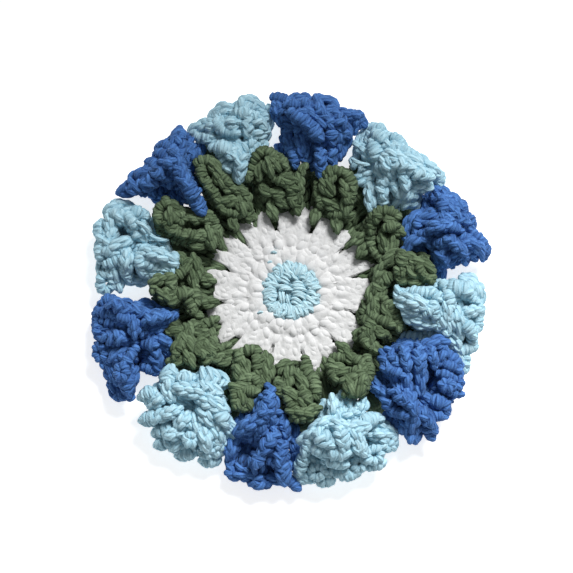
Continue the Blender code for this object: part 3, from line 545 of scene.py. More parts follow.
def roll(yarn, line, width, pitch, legs, radius=YARN_RADIUS, taper=0.8, closed=False):
    """Stitches lying across a fold that follows a line along its crest."""
    random = yarn.random
    widest = 0.5 * width - radius * GRIP
    core(yarn, line, widest, radius, closed, taper)
    length = path_length(line_at(line, np.linspace(0.0, 1.0, 60), closed))
    count = max(2, int(round(length / (pitch * len(legs) * 0.9))))
    step = 1.0 / count if closed else 1.0 / (count + 0.3)
    starts = (np.arange(count) + (0.0 if closed else 0.15)) * step

    def roll_point(place, angle, height):
        here, normal, side = line_frame(line, place, closed)
        half = widest * (1.0 if closed else round_end(place, length, width, taper))
        turned = angle * ROLL_TURN
        centre = here + (half * (np.cos(turned) - 1.0))[..., None] * normal \
            - (half * np.sin(turned))[..., None] * side
        outward = np.cos(turned)[..., None] * normal - np.sin(turned)[..., None] * side
        return np.concatenate([centre + outward * height[..., None], height[..., None]], axis=-1)

    for leg in legs:
        shape = np.array(leg)[None].repeat(count, 0)
        shape = shape + random.normal(0.0, 1.0, shape.shape) * np.array([JITTER, JITTER, JITTER * 2.0])
        shape[:, :, 1] += random.normal(0.0, JITTER, (count, 1))
        place = starts[:, None] + shape[:, :, 1] * step
        strands = roll_point(place, shape[:, :, 0], shape[:, :, 2])
        yarn.add(strands, radius * random.uniform(0.92, 1.10, count), steps=7, sides=7)
    if not closed:
        places = 1.0 + min(1.0, width / length) * np.array(TIP_PLACES)
        angles = np.array(TIP_ANGLES)
        angles = angles + random.normal(0.0, 0.04, angles.shape)
        strands = roll_point(places, angles, np.array(TIP_HEIGHTS))
        yarn.add(strands, radius * random.uniform(0.95, 1.08, 2), steps=7, sides=7)


def bundle(yarn, line, width):
    """Short strands lying along a crest, each row leaning towards the top of it."""
    random = yarn.random
    length = path_length(line_at(line, np.linspace(0.0, 1.0, 40)))
    half = 0.5 * width - YARN_RADIUS * GRIP
    core(yarn, line, half, YARN_RADIUS)
    rows = 1 + max(1, int(round(math.pi * half / (1.55 * YARN_RADIUS))))
    pieces = max(1, int(round(length / SHORT_LENGTH)))
    for row in range(rows):
        angle = -1.0 + 2.0 * row / (rows - 1)
        starts = np.arange(pieces + 1) - 0.5 if row % 2 else np.arange(pieces)
        places = starts[:, None] / pieces + (SHORT_PLACES * 1.22 - 0.11) / pieces
        places = np.clip(places + random.normal(0.0, 0.04 / pieces, places.shape), -0.06, 1.06)
        lean = -0.34 * math.copysign(1.0, angle) * (SHORT_PLACES - 0.5) * (1.0 if abs(angle) > 0.2 else 0.7)
        turned = (angle + lean + random.normal(0.0, 0.05, places.shape)) * BUNDLE_TURN
        here, normal, side = line_frame(line, places)
        shrink = round_end(places, length, width, taper=0.8)
        dip = SHORT_HEIGHTS + random.uniform(-0.2, 0.25, (len(places), 1))
        centre = here + (half * shrink * (np.cos(turned) - 1.0) + dip * np.cos(turned))[..., None] * normal \
            - ((half * shrink + dip) * np.sin(turned))[..., None] * side
        # Painted shade: this value only sets the colour, darker on the flanks of the bundle.
        height = 0.5 + 0.35 * half * (np.cos(turned) - 1.0) + dip
        strands = np.concatenate([centre, height[..., None]], axis=-1)
        yarn.add(strands, YARN_RADIUS * random.uniform(0.95, 1.12, len(places)), steps=6, sides=7)


def crest_height(lobe, ground, x, y):
    """Where a lobe's crest runs: half it follows the ground, half it keeps the ground's mean height."""
    under = ground(x, y)
    return 0.5 * under + 0.5 * under.mean() + lobe.rise


def crest_line(lobe, ground):
    """The crest of a lobe: an arc through its middle, sinking a little at both ends."""
    part = np.linspace(-0.5, 0.5, 7)
    start, turned = math.radians(lobe.heading), np.radians(lobe.heading + lobe.bend * part)
    if abs(lobe.bend) < 1.0:
        x, y = lobe.x + part * lobe.length * math.cos(start), lobe.y + part * lobe.length * math.sin(start)
    else:
        radius = lobe.length / math.radians(lobe.bend)
        x = lobe.x + radius * (np.sin(turned) - math.sin(start))
        y = lobe.y - radius * (np.cos(turned) - math.cos(start))
    sink = 0.28 * lobe.width * np.abs(2.0 * part) ** 3
    return np.stack([x, y, crest_height(lobe, ground, x, y) - sink], axis=-1)


def ring_line(lobe, ground):
    """The crest of a hollow lobe, a closed oval."""
    around = np.arange(12) / 12 * 2.0 * math.pi
    along = 0.5 * (lobe.length - lobe.width) * np.cos(around)
    across = 0.5 * (lobe.bend - lobe.width) * np.sin(around)
    heading = math.radians(lobe.heading)
    x = lobe.x + along * math.cos(heading) - across * math.sin(heading)
    y = lobe.y + along * math.sin(heading) + across * math.cos(heading)
    return np.stack([x, y, crest_height(lobe, ground, x, y)], axis=-1)


def draw_lobe(yarn, lobe, ground):
    if lobe.kind == "ring":
        roll(yarn, ring_line(lobe, ground), lobe.width, 2.2, (RUNG,), radius=1.15, closed=True)
        return
    line = crest_line(lobe, ground)
    if lobe.kind == "thread":
        yarn.add(np.concatenate([line, np.ones((len(line), 1))], axis=1)[None], 0.5 * lobe.width)
    elif lobe.kind == "along":
        bundle(yarn, line, lobe.width)
    elif lobe.kind == "rung":
        roll(yarn, line, lobe.width, 2.5, (RUNG,), radius=1.2, taper=0.75)
    else:
        roll(yarn, line, lobe.width, 2.3, PLAIT)


def sheet_ground(surface, span):
    """A function that gives the height of a sheet's top near any point."""
    turns = np.linspace(0.0, span, int(16 * span) + 1 if span > 1 else 65)[:-1]
    turn, out = np.meshgrid(turns, np.linspace(0.0, 1.0, 33), indexing="ij")
    known = surface(turn, out).reshape(-1, 3)

    def ground(x, y):
        apart = (known[:, 0] - x[:, None]) ** 2 + (known[:, 1] - y[:, None]) ** 2
        return known[np.argmin(apart, axis=1), 2] + SHEET_HALF
    return ground


# The lobes that stand out on a flower, drawn as rolls of stitches over its sheet: how the stitches lie,
# where the middle of the crest is, which way the crest runs there, its length and width, how far it stands
# above the sheet, and how many degrees it bends to the left from end to end, none where a row leaves it out.
# On a "ring", a hollow lobe, the width is the roll's own and bend is its size across in millimetres.
Lobe = namedtuple("Lobe", "kind x y heading length width rise bend", defaults=(0,))
LOBES = {
    1: (
        ("rung", -4, 72.5, 340, 7, 4, 0.3, -30), ("along", -4.5, 67, 285, 8, 5.4, 1.5, -20),
        ("along", 3.5, 72, 5, 8, 3.8, 1, -40), ("rung", 2, 68.5, 0, 4.5, 4, 1.8),
        ("rung", 5.5, 68.5, 350, 5, 4, 2), ("along", 9.5, 69, 275, 6, 3.8, 2),
        ("along", 12.5, 71, 355, 12, 3.6, 1.5, -150), ("rung", 12.5, 69.5, 270, 4, 4, -0.5),
        ("rung", 2, 63.5, 320, 6, 5.2, 2.5), ("along", 6, 65, 340, 5, 3.4, 2.5, -40),
        ("rung", 5, 61.5, 310, 5, 5.4, 3), ("rung", 8.5, 58.5, 310, 8, 5.8, 3),
        ("braid", 11, 65.5, 320, 9, 4.6, 2.5), ("rung", 14, 62.5, 290, 5, 4.8, 1.5),
        ("along", 15, 66, 350, 6, 3.2, 2, -60), ("braid", 19, 61.5, 305, 10, 5.6, 2.8, -20),
        ("along", 20.5, 65.5, 350, 8, 3.4, 1.5), ("rung", 24, 65.5, 20, 4.5, 4, 1.5, -60),
        ("rung", 26.5, 64, 300, 4, 4, 1), ("along", 24.5, 63, 260, 6, 3.6, 0.3),
        ("along", 21, 58, 262, 9, 4, 0.5), ("rung", 15, 58, 280, 7, 5.2, 1.8),
        ("along", 18, 54, 275, 8, 4, 0.5), ("rung", -1.5, 61, 270, 5, 5.2, 1),
        ("along", -1, 56.5, 280, 8, 5, 0.3), ("along", 3.5, 55, 280, 8, 5, 0.5),
        ("rung", 1, 50, 280, 7, 4.6, 0.5), ("along", 6, 51.5, 255, 8, 4, 0.3),
        ("braid", 11, 48, 272, 11, 4.8, 2.5), ("braid", 15, 49.5, 268, 9, 4.8, 2),
        ("along", 10, 62.5, 315, 6, 3.4, 1.5), ("along", 18.5, 59, 265, 6, 4, 1),
        ("along", -3.5, 51.5, 290, 8, 5, -1),
    ),
    2: (
        ("along", -33.5, 62, 8, 9, 5, 1.5, -70), ("rung", -30, 61, 280, 5, 4.4, 1.5),
        ("rung", -32.5, 57.5, 350, 7, 5, 3, 30), ("along", -28, 56.5, 5, 8, 4.6, 3.2, 30),
        ("along", -26, 67.5, 20, 9, 4.6, 1.5, -90), ("along", -27, 64.5, 290, 6, 4.4, 2),
        ("rung", -26.5, 61, 310, 5, 5, 2.2), ("along", -22.5, 62, 0, 6, 3.8, 2.5),
        ("rung", -23.5, 59, 350, 8, 4.8, 2.8), ("along", -16, 70.5, 5, 11, 5, 1.5, -110),
        ("along", -18.5, 67.5, 270, 6, 4, 2), ("rung", -15, 69, 0, 5, 4.6, 0.5),
        ("rung", -18.5, 65.5, 0, 6, 4.6, 2.2), ("braid", -16.5, 61.5, 275, 8, 6, 3),
        ("braid", -13, 63, 325, 8, 4.8, 3), ("rung", -10, 65, 290, 5, 4.6, 1.5),
        ("along", -8.5, 66, 265, 8, 4.6, 0.3), ("along", -9.5, 60.5, 265, 6, 4.4, 0.3),
        ("along", -12.5, 58.5, 15, 7, 3.8, 2), ("along", -19.5, 54, 312, 9, 5, 3),
        ("along", -15, 54.5, 275, 7, 3.6, 2.5), ("along", -11.5, 54.5, 280, 7, 4.8, 1.5),
        ("rung", -25.5, 52.5, 350, 9, 5.6, 3), ("rung", -25, 47.5, 305, 7, 5.2, 2.5),
        ("braid", -19, 46, 262, 11, 5.6, 3), ("rung", -16, 49.5, 280, 5, 4.4, 1.5),
        ("along", -22.5, 50, 320, 5, 3.4, 2),
    ),
    3: (
        ("rung", -42, 57.5, 90, 6, 6.4, 1.5), ("braid", -37.5, 52, 278, 13, 4.2, 1),
        ("braid", -41, 52, 275, 8, 4.6, 2.2), ("rung", -45.5, 53, 330, 7, 5.2, 1.8, -40),
        ("rung", -49.5, 52.5, 100, 3.5, 3.6, 0), ("rung", -47, 49, 330, 6, 5.2, 2.2),
        ("along", -42.5, 48.5, 320, 6, 3.8, 2.8), ("rung", -50.5, 46, 320, 7, 5.6, 1.8, -30),
        ("along", -45.5, 45.5, 340, 6, 3.8, 2.8), ("rung", -54, 44, 60, 4, 3.8, 0),
        ("braid", -48, 42, 340, 6, 5, 2.8), ("along", -44.5, 41.5, 255, 5, 3.2, 3),
        ("braid", -42, 44.5, 300, 8, 5, 3), ("braid", -52, 40, 200, 8, 6, 2.5),
        ("braid", -58.5, 38, 192, 12, 6.6, 1.8), ("rung", -50, 38, 190, 7, 4.4, 0.5),
        ("rung", -37.5, 36, 300, 18, 6, 2.5, 5), ("braid", -40.5, 40.5, 300, 7, 5.8, 3),
        ("along", -43, 36.5, 280, 8, 5, 0), ("along", -48, 35.5, 350, 9, 4, -1),
        ("along", -35, 52, 85, 8, 4, -1),
    ),
    4: (
        ("along", -65, 31.5, 15, 10, 4.8, 1.2, -70), ("rung", -65, 28, 350, 7, 4.8, 1.8),
        ("rung", -57, 28.5, 345, 7, 5, 1.8, -30), ("rung", -60.5, 27, 300, 5, 4.4, 1.5),
        ("rung", -71.5, 23, 80, 5.5, 5, 0.8), ("along", -67.5, 23, 275, 8, 4.6, 1.8),
        ("along", -63, 25.5, 320, 5, 3.8, 1.2), ("rung", -58.5, 24, 320, 4.5, 4, 2.2),
        ("braid", -57.5, 20.5, 320, 7, 5, 2.2), ("along", -68.5, 17, 325, 7, 4.2, 2.2),
        ("along", -63.5, 16.5, 20, 7, 4.8, 2.8), ("rung", -58, 16.5, 340, 6, 5, 2.8),
        ("along", -54.5, 15.5, 25, 8, 3.2, 2.5), ("rung", -71, 14, 95, 8, 5, 1.2),
        ("rung", -66.5, 10, 20, 6, 4.6, 2), ("along", -61, 10.5, 275, 8, 6, 2.8),
        ("rung", -61, 6, 290, 5.5, 5, 2.2), ("rung", -67, 13.5, 350, 5, 4.6, 1.5),
        ("ring", -69, 3, 80, 10, 3.6, 1.2, 8), ("along", -65, 4.5, 285, 9, 3.8, 2.2),
        ("along", -49.5, 12, 345, 13, 4.6, 3.2, -30), ("rung", -52, 8.5, 340, 7, 4.8, 3),
        ("along", -46, 8.5, 300, 8, 4.6, 2.8, -30), ("along", -50.5, 6, 355, 11, 4.4, 3.8, 20),
        ("rung", -56, 9, 280, 7, 4.6, 3.6), ("rung", -43.5, 10.5, 270, 6, 3.8, 2),
        ("along", -58, 4.5, 350, 9, 4.6, 0.2), ("along", -51.5, 22.5, 300, 9, 5, -1),
        ("along", -48.5, 17.5, 310, 8, 4.5, 0), ("thread", -54.5, 22.5, 320, 7, 1.7, 4.6, -60),
        ("thread", -49.5, 18.5, 345, 8, 1.7, 4.6, 60),
    ),
    5: (
        ("rung", -68.5, -4.5, 20, 6.5, 4.6, 1.5, -40), ("rung", -72, -8.5, 70, 6, 4.2, 1, -40),
        ("rung", -72, -14.5, 95, 7, 4.2, 1), ("ring", -71, -23.5, 100, 8, 3, 1, 6),
        ("braid", -63, -8, 345, 9, 5, 2.5), ("braid", -56, -9.5, 345, 9, 4.8, 3),
        ("rung", -68, -9.5, 340, 7, 4.6, 1.5), ("rung", -66, -13, 345, 9, 4.2, 1.2),
        ("along", -52.5, -6, 350, 9, 4, -0.5), ("along", -47, -6, 345, 8, 4.5, -0.8),
        ("braid", -50, -12, 15, 10, 5, 3, 10), ("rung", -46, -11.5, 25, 7, 3.8, 2.2),
        ("along", -51, -15, 15, 8, 3.4, 2), ("braid", -65.5, -18.5, 350, 9, 6, 2.5),
        ("along", -58, -15, 275, 7, 4, 3.2), ("along", -54.5, -16.5, 285, 6, 3, 2.6),
        ("along", -58, -20, 10, 7, 3.6, 2), ("rung", -61, -12, 350, 5, 4, 2),
        ("rung", -52.5, -21, 350, 5, 5, 2.2), ("along", -47.5, -20, 335, 7, 4, 2),
        ("along", -46, -23, 300, 6, 3.6, 1.2), ("braid", -50, -26, 280, 8, 5.5, 2.2),
        ("along", -46.5, -26.5, 265, 5, 3.4, 0.5), ("rung", -51.5, -30, 350, 7, 4.2, 1, 30),
        ("rung", -59.5, -25.5, 240, 8, 4.4, 2), ("along", -64, -24.5, 215, 7, 4, 1),
        ("along", -68, -29.5, 290, 9, 3.8, 0.5), ("ring", -62.5, -31.5, 90, 8, 3.2, 2, 6.5),
        ("braid", -58.5, -31.5, 275, 7, 4.2, 1.5), ("along", -65.5, -36.5, 290, 8, 4.4, 0.3),
        ("rung", -60.5, -36.5, 280, 6, 6.4, 1.8), ("rung", -62, -39.5, 180, 6, 4, 0.8, 60),
    ),
    6: (
        ("braid", -45, -33, 80, 8, 7.5, 2.5), ("braid", -29.5, -34, 350, 12, 9, 2, -20),
        ("braid", -31, -38, 345, 10, 6, 1.5), ("rung", -38.5, -34, 0, 6, 5, 1.5),
        ("along", -37.5, -38.5, 350, 12, 6, 3), ("along", -45, -38, 280, 8, 6, 3, 20),
        ("along", -40.5, -42, 330, 10, 5, 2.5), ("along", -29, -43.5, 335, 11, 6.5, 3, -10),
        ("along", -31, -48, 300, 9, 7, 3.5), ("rung", -26, -47.5, 300, 8, 6, 3),
        ("along", -22.5, -52, 310, 9, 5.5, 2, -20), ("rung", -53, -39.5, 200, 6, 6, 2),
        ("along", -49, -42, 215, 7, 4, 2), ("rung", -52.5, -48.5, 190, 6, 6.4, 2),
        ("along", -48, -47.5, 225, 6, 4, 1.5), ("along", -44, -46.5, 200, 7, 4.6, 2.5),
        ("along", -40, -49.5, 230, 7, 5.2, 3.5, 20), ("rung", -47, -52.5, 200, 8, 5, 2),
        ("along", -43, -54, 190, 7, 4.6, 2.5, -20), ("rung", -47, -57, 200, 6, 6.2, 1.5),
        ("along", -42, -58, 220, 5, 4.4, 1.5), ("along", -35.5, -50.5, 280, 9, 6.4, 4),
        ("ring", -37, -56.5, 0, 6.8, 3.2, 2, 6.4), ("rung", -39, -61, 190, 6.5, 6, 1),
        ("along", -32, -55.5, 285, 9, 5, 2.5), ("ring", -31.5, -60.5, 0, 6.4, 3, 1.5, 6.4),
        ("rung", -30, -63.5, 180, 6.5, 5.5, 1), ("along", -27.5, -53.5, 290, 8, 4.8, 2.5),
        ("ring", -26.5, -57.5, 0, 6, 2.8, 1.5, 6), ("along", -24, -56, 280, 7, 4.6, 1.5),
        ("rung", -27, -60.5, 200, 5, 4.4, 1), ("rung", -37.5, -44.5, 20, 7, 5, 0.5),
    ),
    7: (
        ("braid", -8, -42, 270, 11.5, 5.2, 1.5), ("along", -9, -47, 192, 9, 4.2, 1.5, 20),
        ("along", -15, -51, 205, 12, 5.2, 2, 8), ("rung", -18, -48, 212, 5, 3.4, 0.5),
        ("along", -21.5, -58, 248, 9.5, 5, 1.5, 30), ("braid", -22.5, -65, 275, 9, 4, 1, 10),
        ("along", -19, -69, 352, 9, 3.8, 1, 8), ("braid", -12, -72.5, 352, 8, 4.2, 1, 60),
        ("braid", -8, -57.5, 238, 12, 5.4, 3, -12), ("rung", -12, -64, 250, 4.6, 5, 2.5),
        ("rung", -7.5, -64, 325, 5, 3.2, 1.5), ("braid", -3, -50, 285, 10, 5.2, 1.8, -20),
        ("braid", -4, -61, 265, 9, 5.4, 2.5), ("braid", -3, -68, 275, 8.5, 6, 2),
        ("rung", 1, -72, 310, 5, 4.8, 1.5), ("along", -5, -70.5, 350, 6, 3.6, 0.5),
        ("along", 1, -55, 275, 9, 4.5, -0.5), ("along", 1.5, -63, 275, 8, 4, -1),
    ),
    8: (
        ("along", 15.5, -45, 275, 9, 3.2, 2.5), ("along", 18.5, -42.5, 265, 8, 3.4, 0.5),
        ("along", 22, -43, 270, 7, 3.4, 0.5), ("along", 26, -44.5, 245, 6.5, 3.6, 3, -40),
        ("along", 21, -47.5, 195, 8, 4, 3), ("along", 11.5, -45.5, 265, 7, 2.4, 1),
        ("rung", 29.5, -49, 10, 8, 5.6, 3, -20), ("along", 12, -51.5, 195, 9, 5, 3.6),
        ("along", 18, -52, 340, 8, 4.4, 3.6), ("along", 24.5, -52.5, 10, 8, 4.8, 3.6),
        ("along", 7, -55.5, 205, 8, 4.4, 4.2), ("rung", 6, -59, 250, 6, 5, 4.4),
        ("braid", 12, -56.5, 320, 9, 6.4, 4), ("braid", 18.5, -56.5, 280, 9, 6, 4),
        ("along", 23.5, -56.5, 290, 9, 6, 4), ("rung", 10.5, -60.5, 330, 8, 6, 3.8),
        ("rung", 17, -61.5, 0, 8, 6.4, 4), ("rung", 25, -58.5, 300, 8, 5.8, 4),
        ("rung", 16, -64.5, 350, 9, 5.4, 3.8, -20), ("rung", 4, -65, 250, 7, 5.8, 4, 40),
        ("along", 9, -64, 330, 7, 4, 0.5), ("along", 4.5, -69.5, 330, 6, 4.4, 2.5),
        ("ring", 10, -68, 0, 8, 3, 1, 7), ("rung", 12, -71.5, 0, 7, 4.6, 1, 60),
        ("rung", 17.5, -68, 0, 6, 5, 0.5), ("rung", 22, -69, 20, 7, 4.8, 1, 20),
        ("ring", 25, -65, 60, 8, 3.2, 1, 7), ("ring", 30.5, -62, 10, 8.5, 3.2, 1.2, 8),
        ("rung", 31.5, -65.5, 20, 6, 4.2, 1, 20), ("along", 34.5, -52, 340, 9, 5, 2, -20),
        ("rung", 37, -55, 290, 8, 5, 1, -20), ("along", 32.5, -54.5, 0, 8, 3.8, 1.5),
        ("ring", 35.5, -58, 330, 7, 3.2, 1, 6),
    ),
    9: (
        ("braid", 35, -28, 285, 11, 5, 2.5, 20), ("braid", 38.5, -27, 300, 10, 5, 3),
        ("braid", 42, -26.5, 280, 9, 4.6, 3), ("rung", 38.5, -32, 340, 6, 3.8, 2),
        ("along", 41, -23, 8, 10, 3.8, 2.5), ("braid", 47, -26, 265, 10, 6, 3.5),
        ("along", 47.5, -33.5, 268, 11, 5, 3.5), ("along", 52.5, -21, 22, 10, 4.2, 3, -50),
        ("braid", 52, -25.5, 285, 8, 4, 2.5), ("along", 56, -25.5, 245, 8, 3.2, 2, -40),
        ("rung", 60, -26, 320, 8, 4.8, 2, -40), ("rung", 59, -29, 340, 7, 3.8, 1.5),
        ("along", 62, -30, 270, 7, 3.8, 1.5), ("rung", 57.5, -32, 350, 6, 3.6, 0.5),
        ("ring", 57.5, -36, 0, 7, 3, 1.2, 6), ("ring", 61.5, -35, 60, 7, 3, 1.2, 6),
        ("rung", 60, -38.5, 350, 6.5, 3.6, 0.8), ("rung", 54, -42, 350, 7, 6, 1),
        ("along", 50, -40.5, 320, 7, 3.6, 1), ("rung", 57, -43.5, 290, 5, 4.6, 1),
        ("rung", 54.5, -47, 10, 5.5, 4.4, 1, -60), ("along", 32.5, -37, 310, 9, 4.8, 2.5),
        ("along", 39, -35, 280, 6, 3.4, 2.5), ("along", 42.5, -35.5, 270, 8, 3.6, 3),
        ("braid", 36, -42.5, 290, 10, 5.5, 3, 20), ("braid", 40.5, -41.5, 320, 10, 5, 3.2),
        ("braid", 44.5, -42.5, 280, 9, 4.4, 3), ("rung", 39.5, -46.5, 340, 8, 4.4, 2.5),
        ("rung", 37.5, -48.5, 320, 7, 4, 1), ("along", 45, -50, 262, 13, 4.2, 2.5),
        ("braid", 50, -48.5, 305, 11, 5, 2.5), ("rung", 41.5, -52, 350, 5.5, 4.6, 1.5),
        ("braid", 46, -53.5, 270, 6, 5.5, 2), ("rung", 51, -53, 300, 5.5, 4.6, 1.5),
        ("along", 43.5, -20, 5, 9, 3, -0.5), ("along", 34.5, -34, 300, 6, 5, -1),
    ),
    10: (
        ("along", 41.5, -3.5, 300, 8, 4, 2.5), ("along", 40, -5.5, 290, 6, 3, 1.5),
        ("rung", 47.5, -2, 355, 9, 5, 2.8), ("along", 45, -6, 335, 9, 5, 4.2),
        ("along", 45, -9, 340, 10, 5.4, 5.5, 30), ("rung", 50, -9.5, 20, 5, 4.6, 5.5),
        ("along", 46.5, -12, 335, 10, 5, 8.5, 30), ("rung", 54, 2, 0, 6, 4.6, 1),
        ("rung", 57.5, 0.5, 300, 5, 4.6, 2), ("rung", 53, -3, 320, 6, 5, 2.5),
        ("rung", 62.5, -0.5, 350, 8, 7.4, 2.5, -20), ("along", 69.5, 1, 295, 13, 4, 1.2, -90),
        ("along", 67, 1, 300, 9, 3.6, 1.8, -70), ("rung", 67, -3.5, 330, 5, 4.2, 1.5),
        ("rung", 58.5, -5, 290, 6, 5, 2.8), ("along", 57.5, -9, 275, 6, 4.6, 3),
        ("rung", 70, -7.5, 280, 5, 4.6, 1), ("rung", 69.5, -12, 270, 6, 4.6, 1),
        ("along", 66, -9, 15, 7, 3.4, 1.8), ("along", 61.5, -13, 280, 10, 6.6, 3.6),
        ("along", 57, -13, 280, 8, 5, 4.2), ("rung", 53, -9.5, 280, 6, 4.6, 4.5),
        ("along", 52.5, -13.5, 350, 6.5, 4.4, 7.5), ("rung", 66, -15, 310, 7, 5.6, 2.2),
        ("rung", 54.5, -17, 345, 9, 5, 1.2), ("rung", 45.5, -17.5, 355, 9, 4.4, 0.3),
        ("along", 60.5, -19, 300, 7, 4.6, 1), ("rung", 67.5, -18.5, 270, 6, 4.6, 1),
        ("rung", 65, -22, 20, 8, 4.4, 1, -20), ("rung", 65, -26.5, 265, 7, 4, 0.5),
        ("along", 62, -23.5, 300, 7, 3.6, 0.5),
    ),
    11: (
        ("rung", 54, 38, 30, 5, 4, 0.5), ("along", 56.5, 37, 310, 5, 3.6, 1.5, -40),
        ("along", 55, 34.5, 290, 6, 4.2, 2), ("along", 51, 33, 255, 8, 5, -0.5),
        ("along", 57, 33, 15, 7, 2.8, 2.5), ("along", 62, 33, 320, 9, 3.8, 2, -100),
        ("braid", 61.5, 31.5, 320, 6, 3.4, 1.5), ("rung", 56.5, 30, 280, 6, 4.4, 2.5),
        ("along", 59.5, 29.5, 310, 7, 3.6, 2.5), ("rung", 64, 29.5, 290, 5, 3.8, 1.5),
        ("along", 44.5, 24.5, 62, 11, 4.5, 1.5, -70), ("rung", 47, 23.5, 260, 7, 3.8, 1.5),
        ("along", 52, 26.5, 20, 7, 5.5, 3), ("braid", 56.5, 25.5, 350, 6, 4.2, 3.2),
        ("along", 55, 22.5, 10, 8, 4.6, 3.5), ("rung", 60, 22.5, 340, 7, 4.4, 2.5),
        ("braid", 62.5, 26, 330, 7, 4.6, 2.5), ("rung", 66.5, 25.5, 300, 5.5, 4.6, 1.5),
        ("along", 65.5, 22.5, 340, 6, 4, 1.5), ("along", 44.5, 17, 40, 10, 2.8, 2.5, -50),
        ("along", 51, 18, 320, 7, 2.8, 3, -90), ("rung", 50, 20.5, 10, 4.5, 3.2, 2),
        ("along", 45.5, 16.5, 300, 5, 2.8, 1), ("along", 48, 16, 305, 5, 2.8, 0.5),
        ("rung", 55, 17, 350, 6, 4.2, 3), ("braid", 56.5, 13, 290, 8, 5.5, 3),
        ("braid", 61, 15.5, 320, 9, 4.8, 3), ("along", 60.5, 12, 20, 8, 4.2, 2, 20),
        ("along", 55, 12, 280, 8, 4.5, 1), ("along", 55.5, 7.5, 275, 6, 5, -0.5),
        ("along", 68.5, 16, 330, 9, 3.2, 2.5, -90), ("rung", 67, 14.5, 300, 7, 4.6, 1.8),
        ("rung", 64.5, 13, 280, 6, 4.2, 1.8), ("rung", 68, 20.5, 325, 8, 3.8, 1.2, -20),
        ("rung", 71.5, 17, 300, 6, 3.8, 0.8), ("rung", 72.5, 14, 250, 4.5, 4, 0.8),
    ),
    12: (
        ("rung", 29, 60.5, 60, 5.5, 4.8, 1, -30), ("rung", 32.5, 60.5, 340, 5, 5, 1.2, -40),
        ("rung", 33, 57, 320, 6, 4.8, 1.8), ("along", 27, 57.5, 75, 7, 4.2, 1, -40),
        ("along", 30, 57, 290, 5, 4, 1.5), ("rung", 38, 57, 340, 5, 4.6, 1),
        ("rung", 40.5, 55.5, 300, 4.5, 4.4, 1), ("braid", 37, 53, 355, 7, 4.2, 2),
        ("rung", 31.5, 51.5, 290, 8, 5.8, 3), ("along", 27.5, 52, 315, 9, 3.6, 2.2),
        ("along", 25, 51, 250, 8, 4, -0.5), ("rung", 42.5, 50.5, 340, 9, 5.6, 2.5, -20),
        ("along", 48.5, 47.5, 325, 9, 5, 2.2), ("along", 38.5, 48, 335, 8, 5, 3.4),
        ("along", 44.5, 47, 335, 7, 4.8, 3.8), ("along", 36, 45, 300, 7, 5, 4.5),
        ("braid", 41.5, 45, 345, 8, 5, 3.6), ("along", 52.5, 44.5, 335, 7, 4.6, 2.2),
        ("rung", 55, 42.5, 290, 6, 5.6, 1.8), ("braid", 48, 42, 345, 9, 5.2, 4.4),
        ("along", 47.5, 38.5, 355, 9, 5, 4.5), ("braid", 42, 40.5, 280, 8, 4.8, 5.5),
        ("braid", 38, 40, 290, 8, 5, 5), ("along", 34, 42.5, 290, 7, 4.6, 4.5),
        ("along", 28.5, 43.5, 15, 8, 4, 2.5), ("along", 28, 41, 20, 6, 3.4, 2),
        ("along", 30, 35, 272, 9, 4.4, 1.8), ("braid", 34, 37.5, 280, 7, 5, 2),
        ("rung", 34.5, 33.5, 270, 6, 4.8, 1), ("rung", 42.5, 35.5, 350, 8, 5, 3.5),
        ("braid", 42.5, 32.5, 0, 8, 5, 3), ("along", 46.5, 34, 275, 7, 4.4, 0.3),
        ("along", 39, 34, 275, 7, 3.8, 0.3), ("thread", 25.5, 47, 335, 8, 1.7, 4.2, 60),
    ),
}
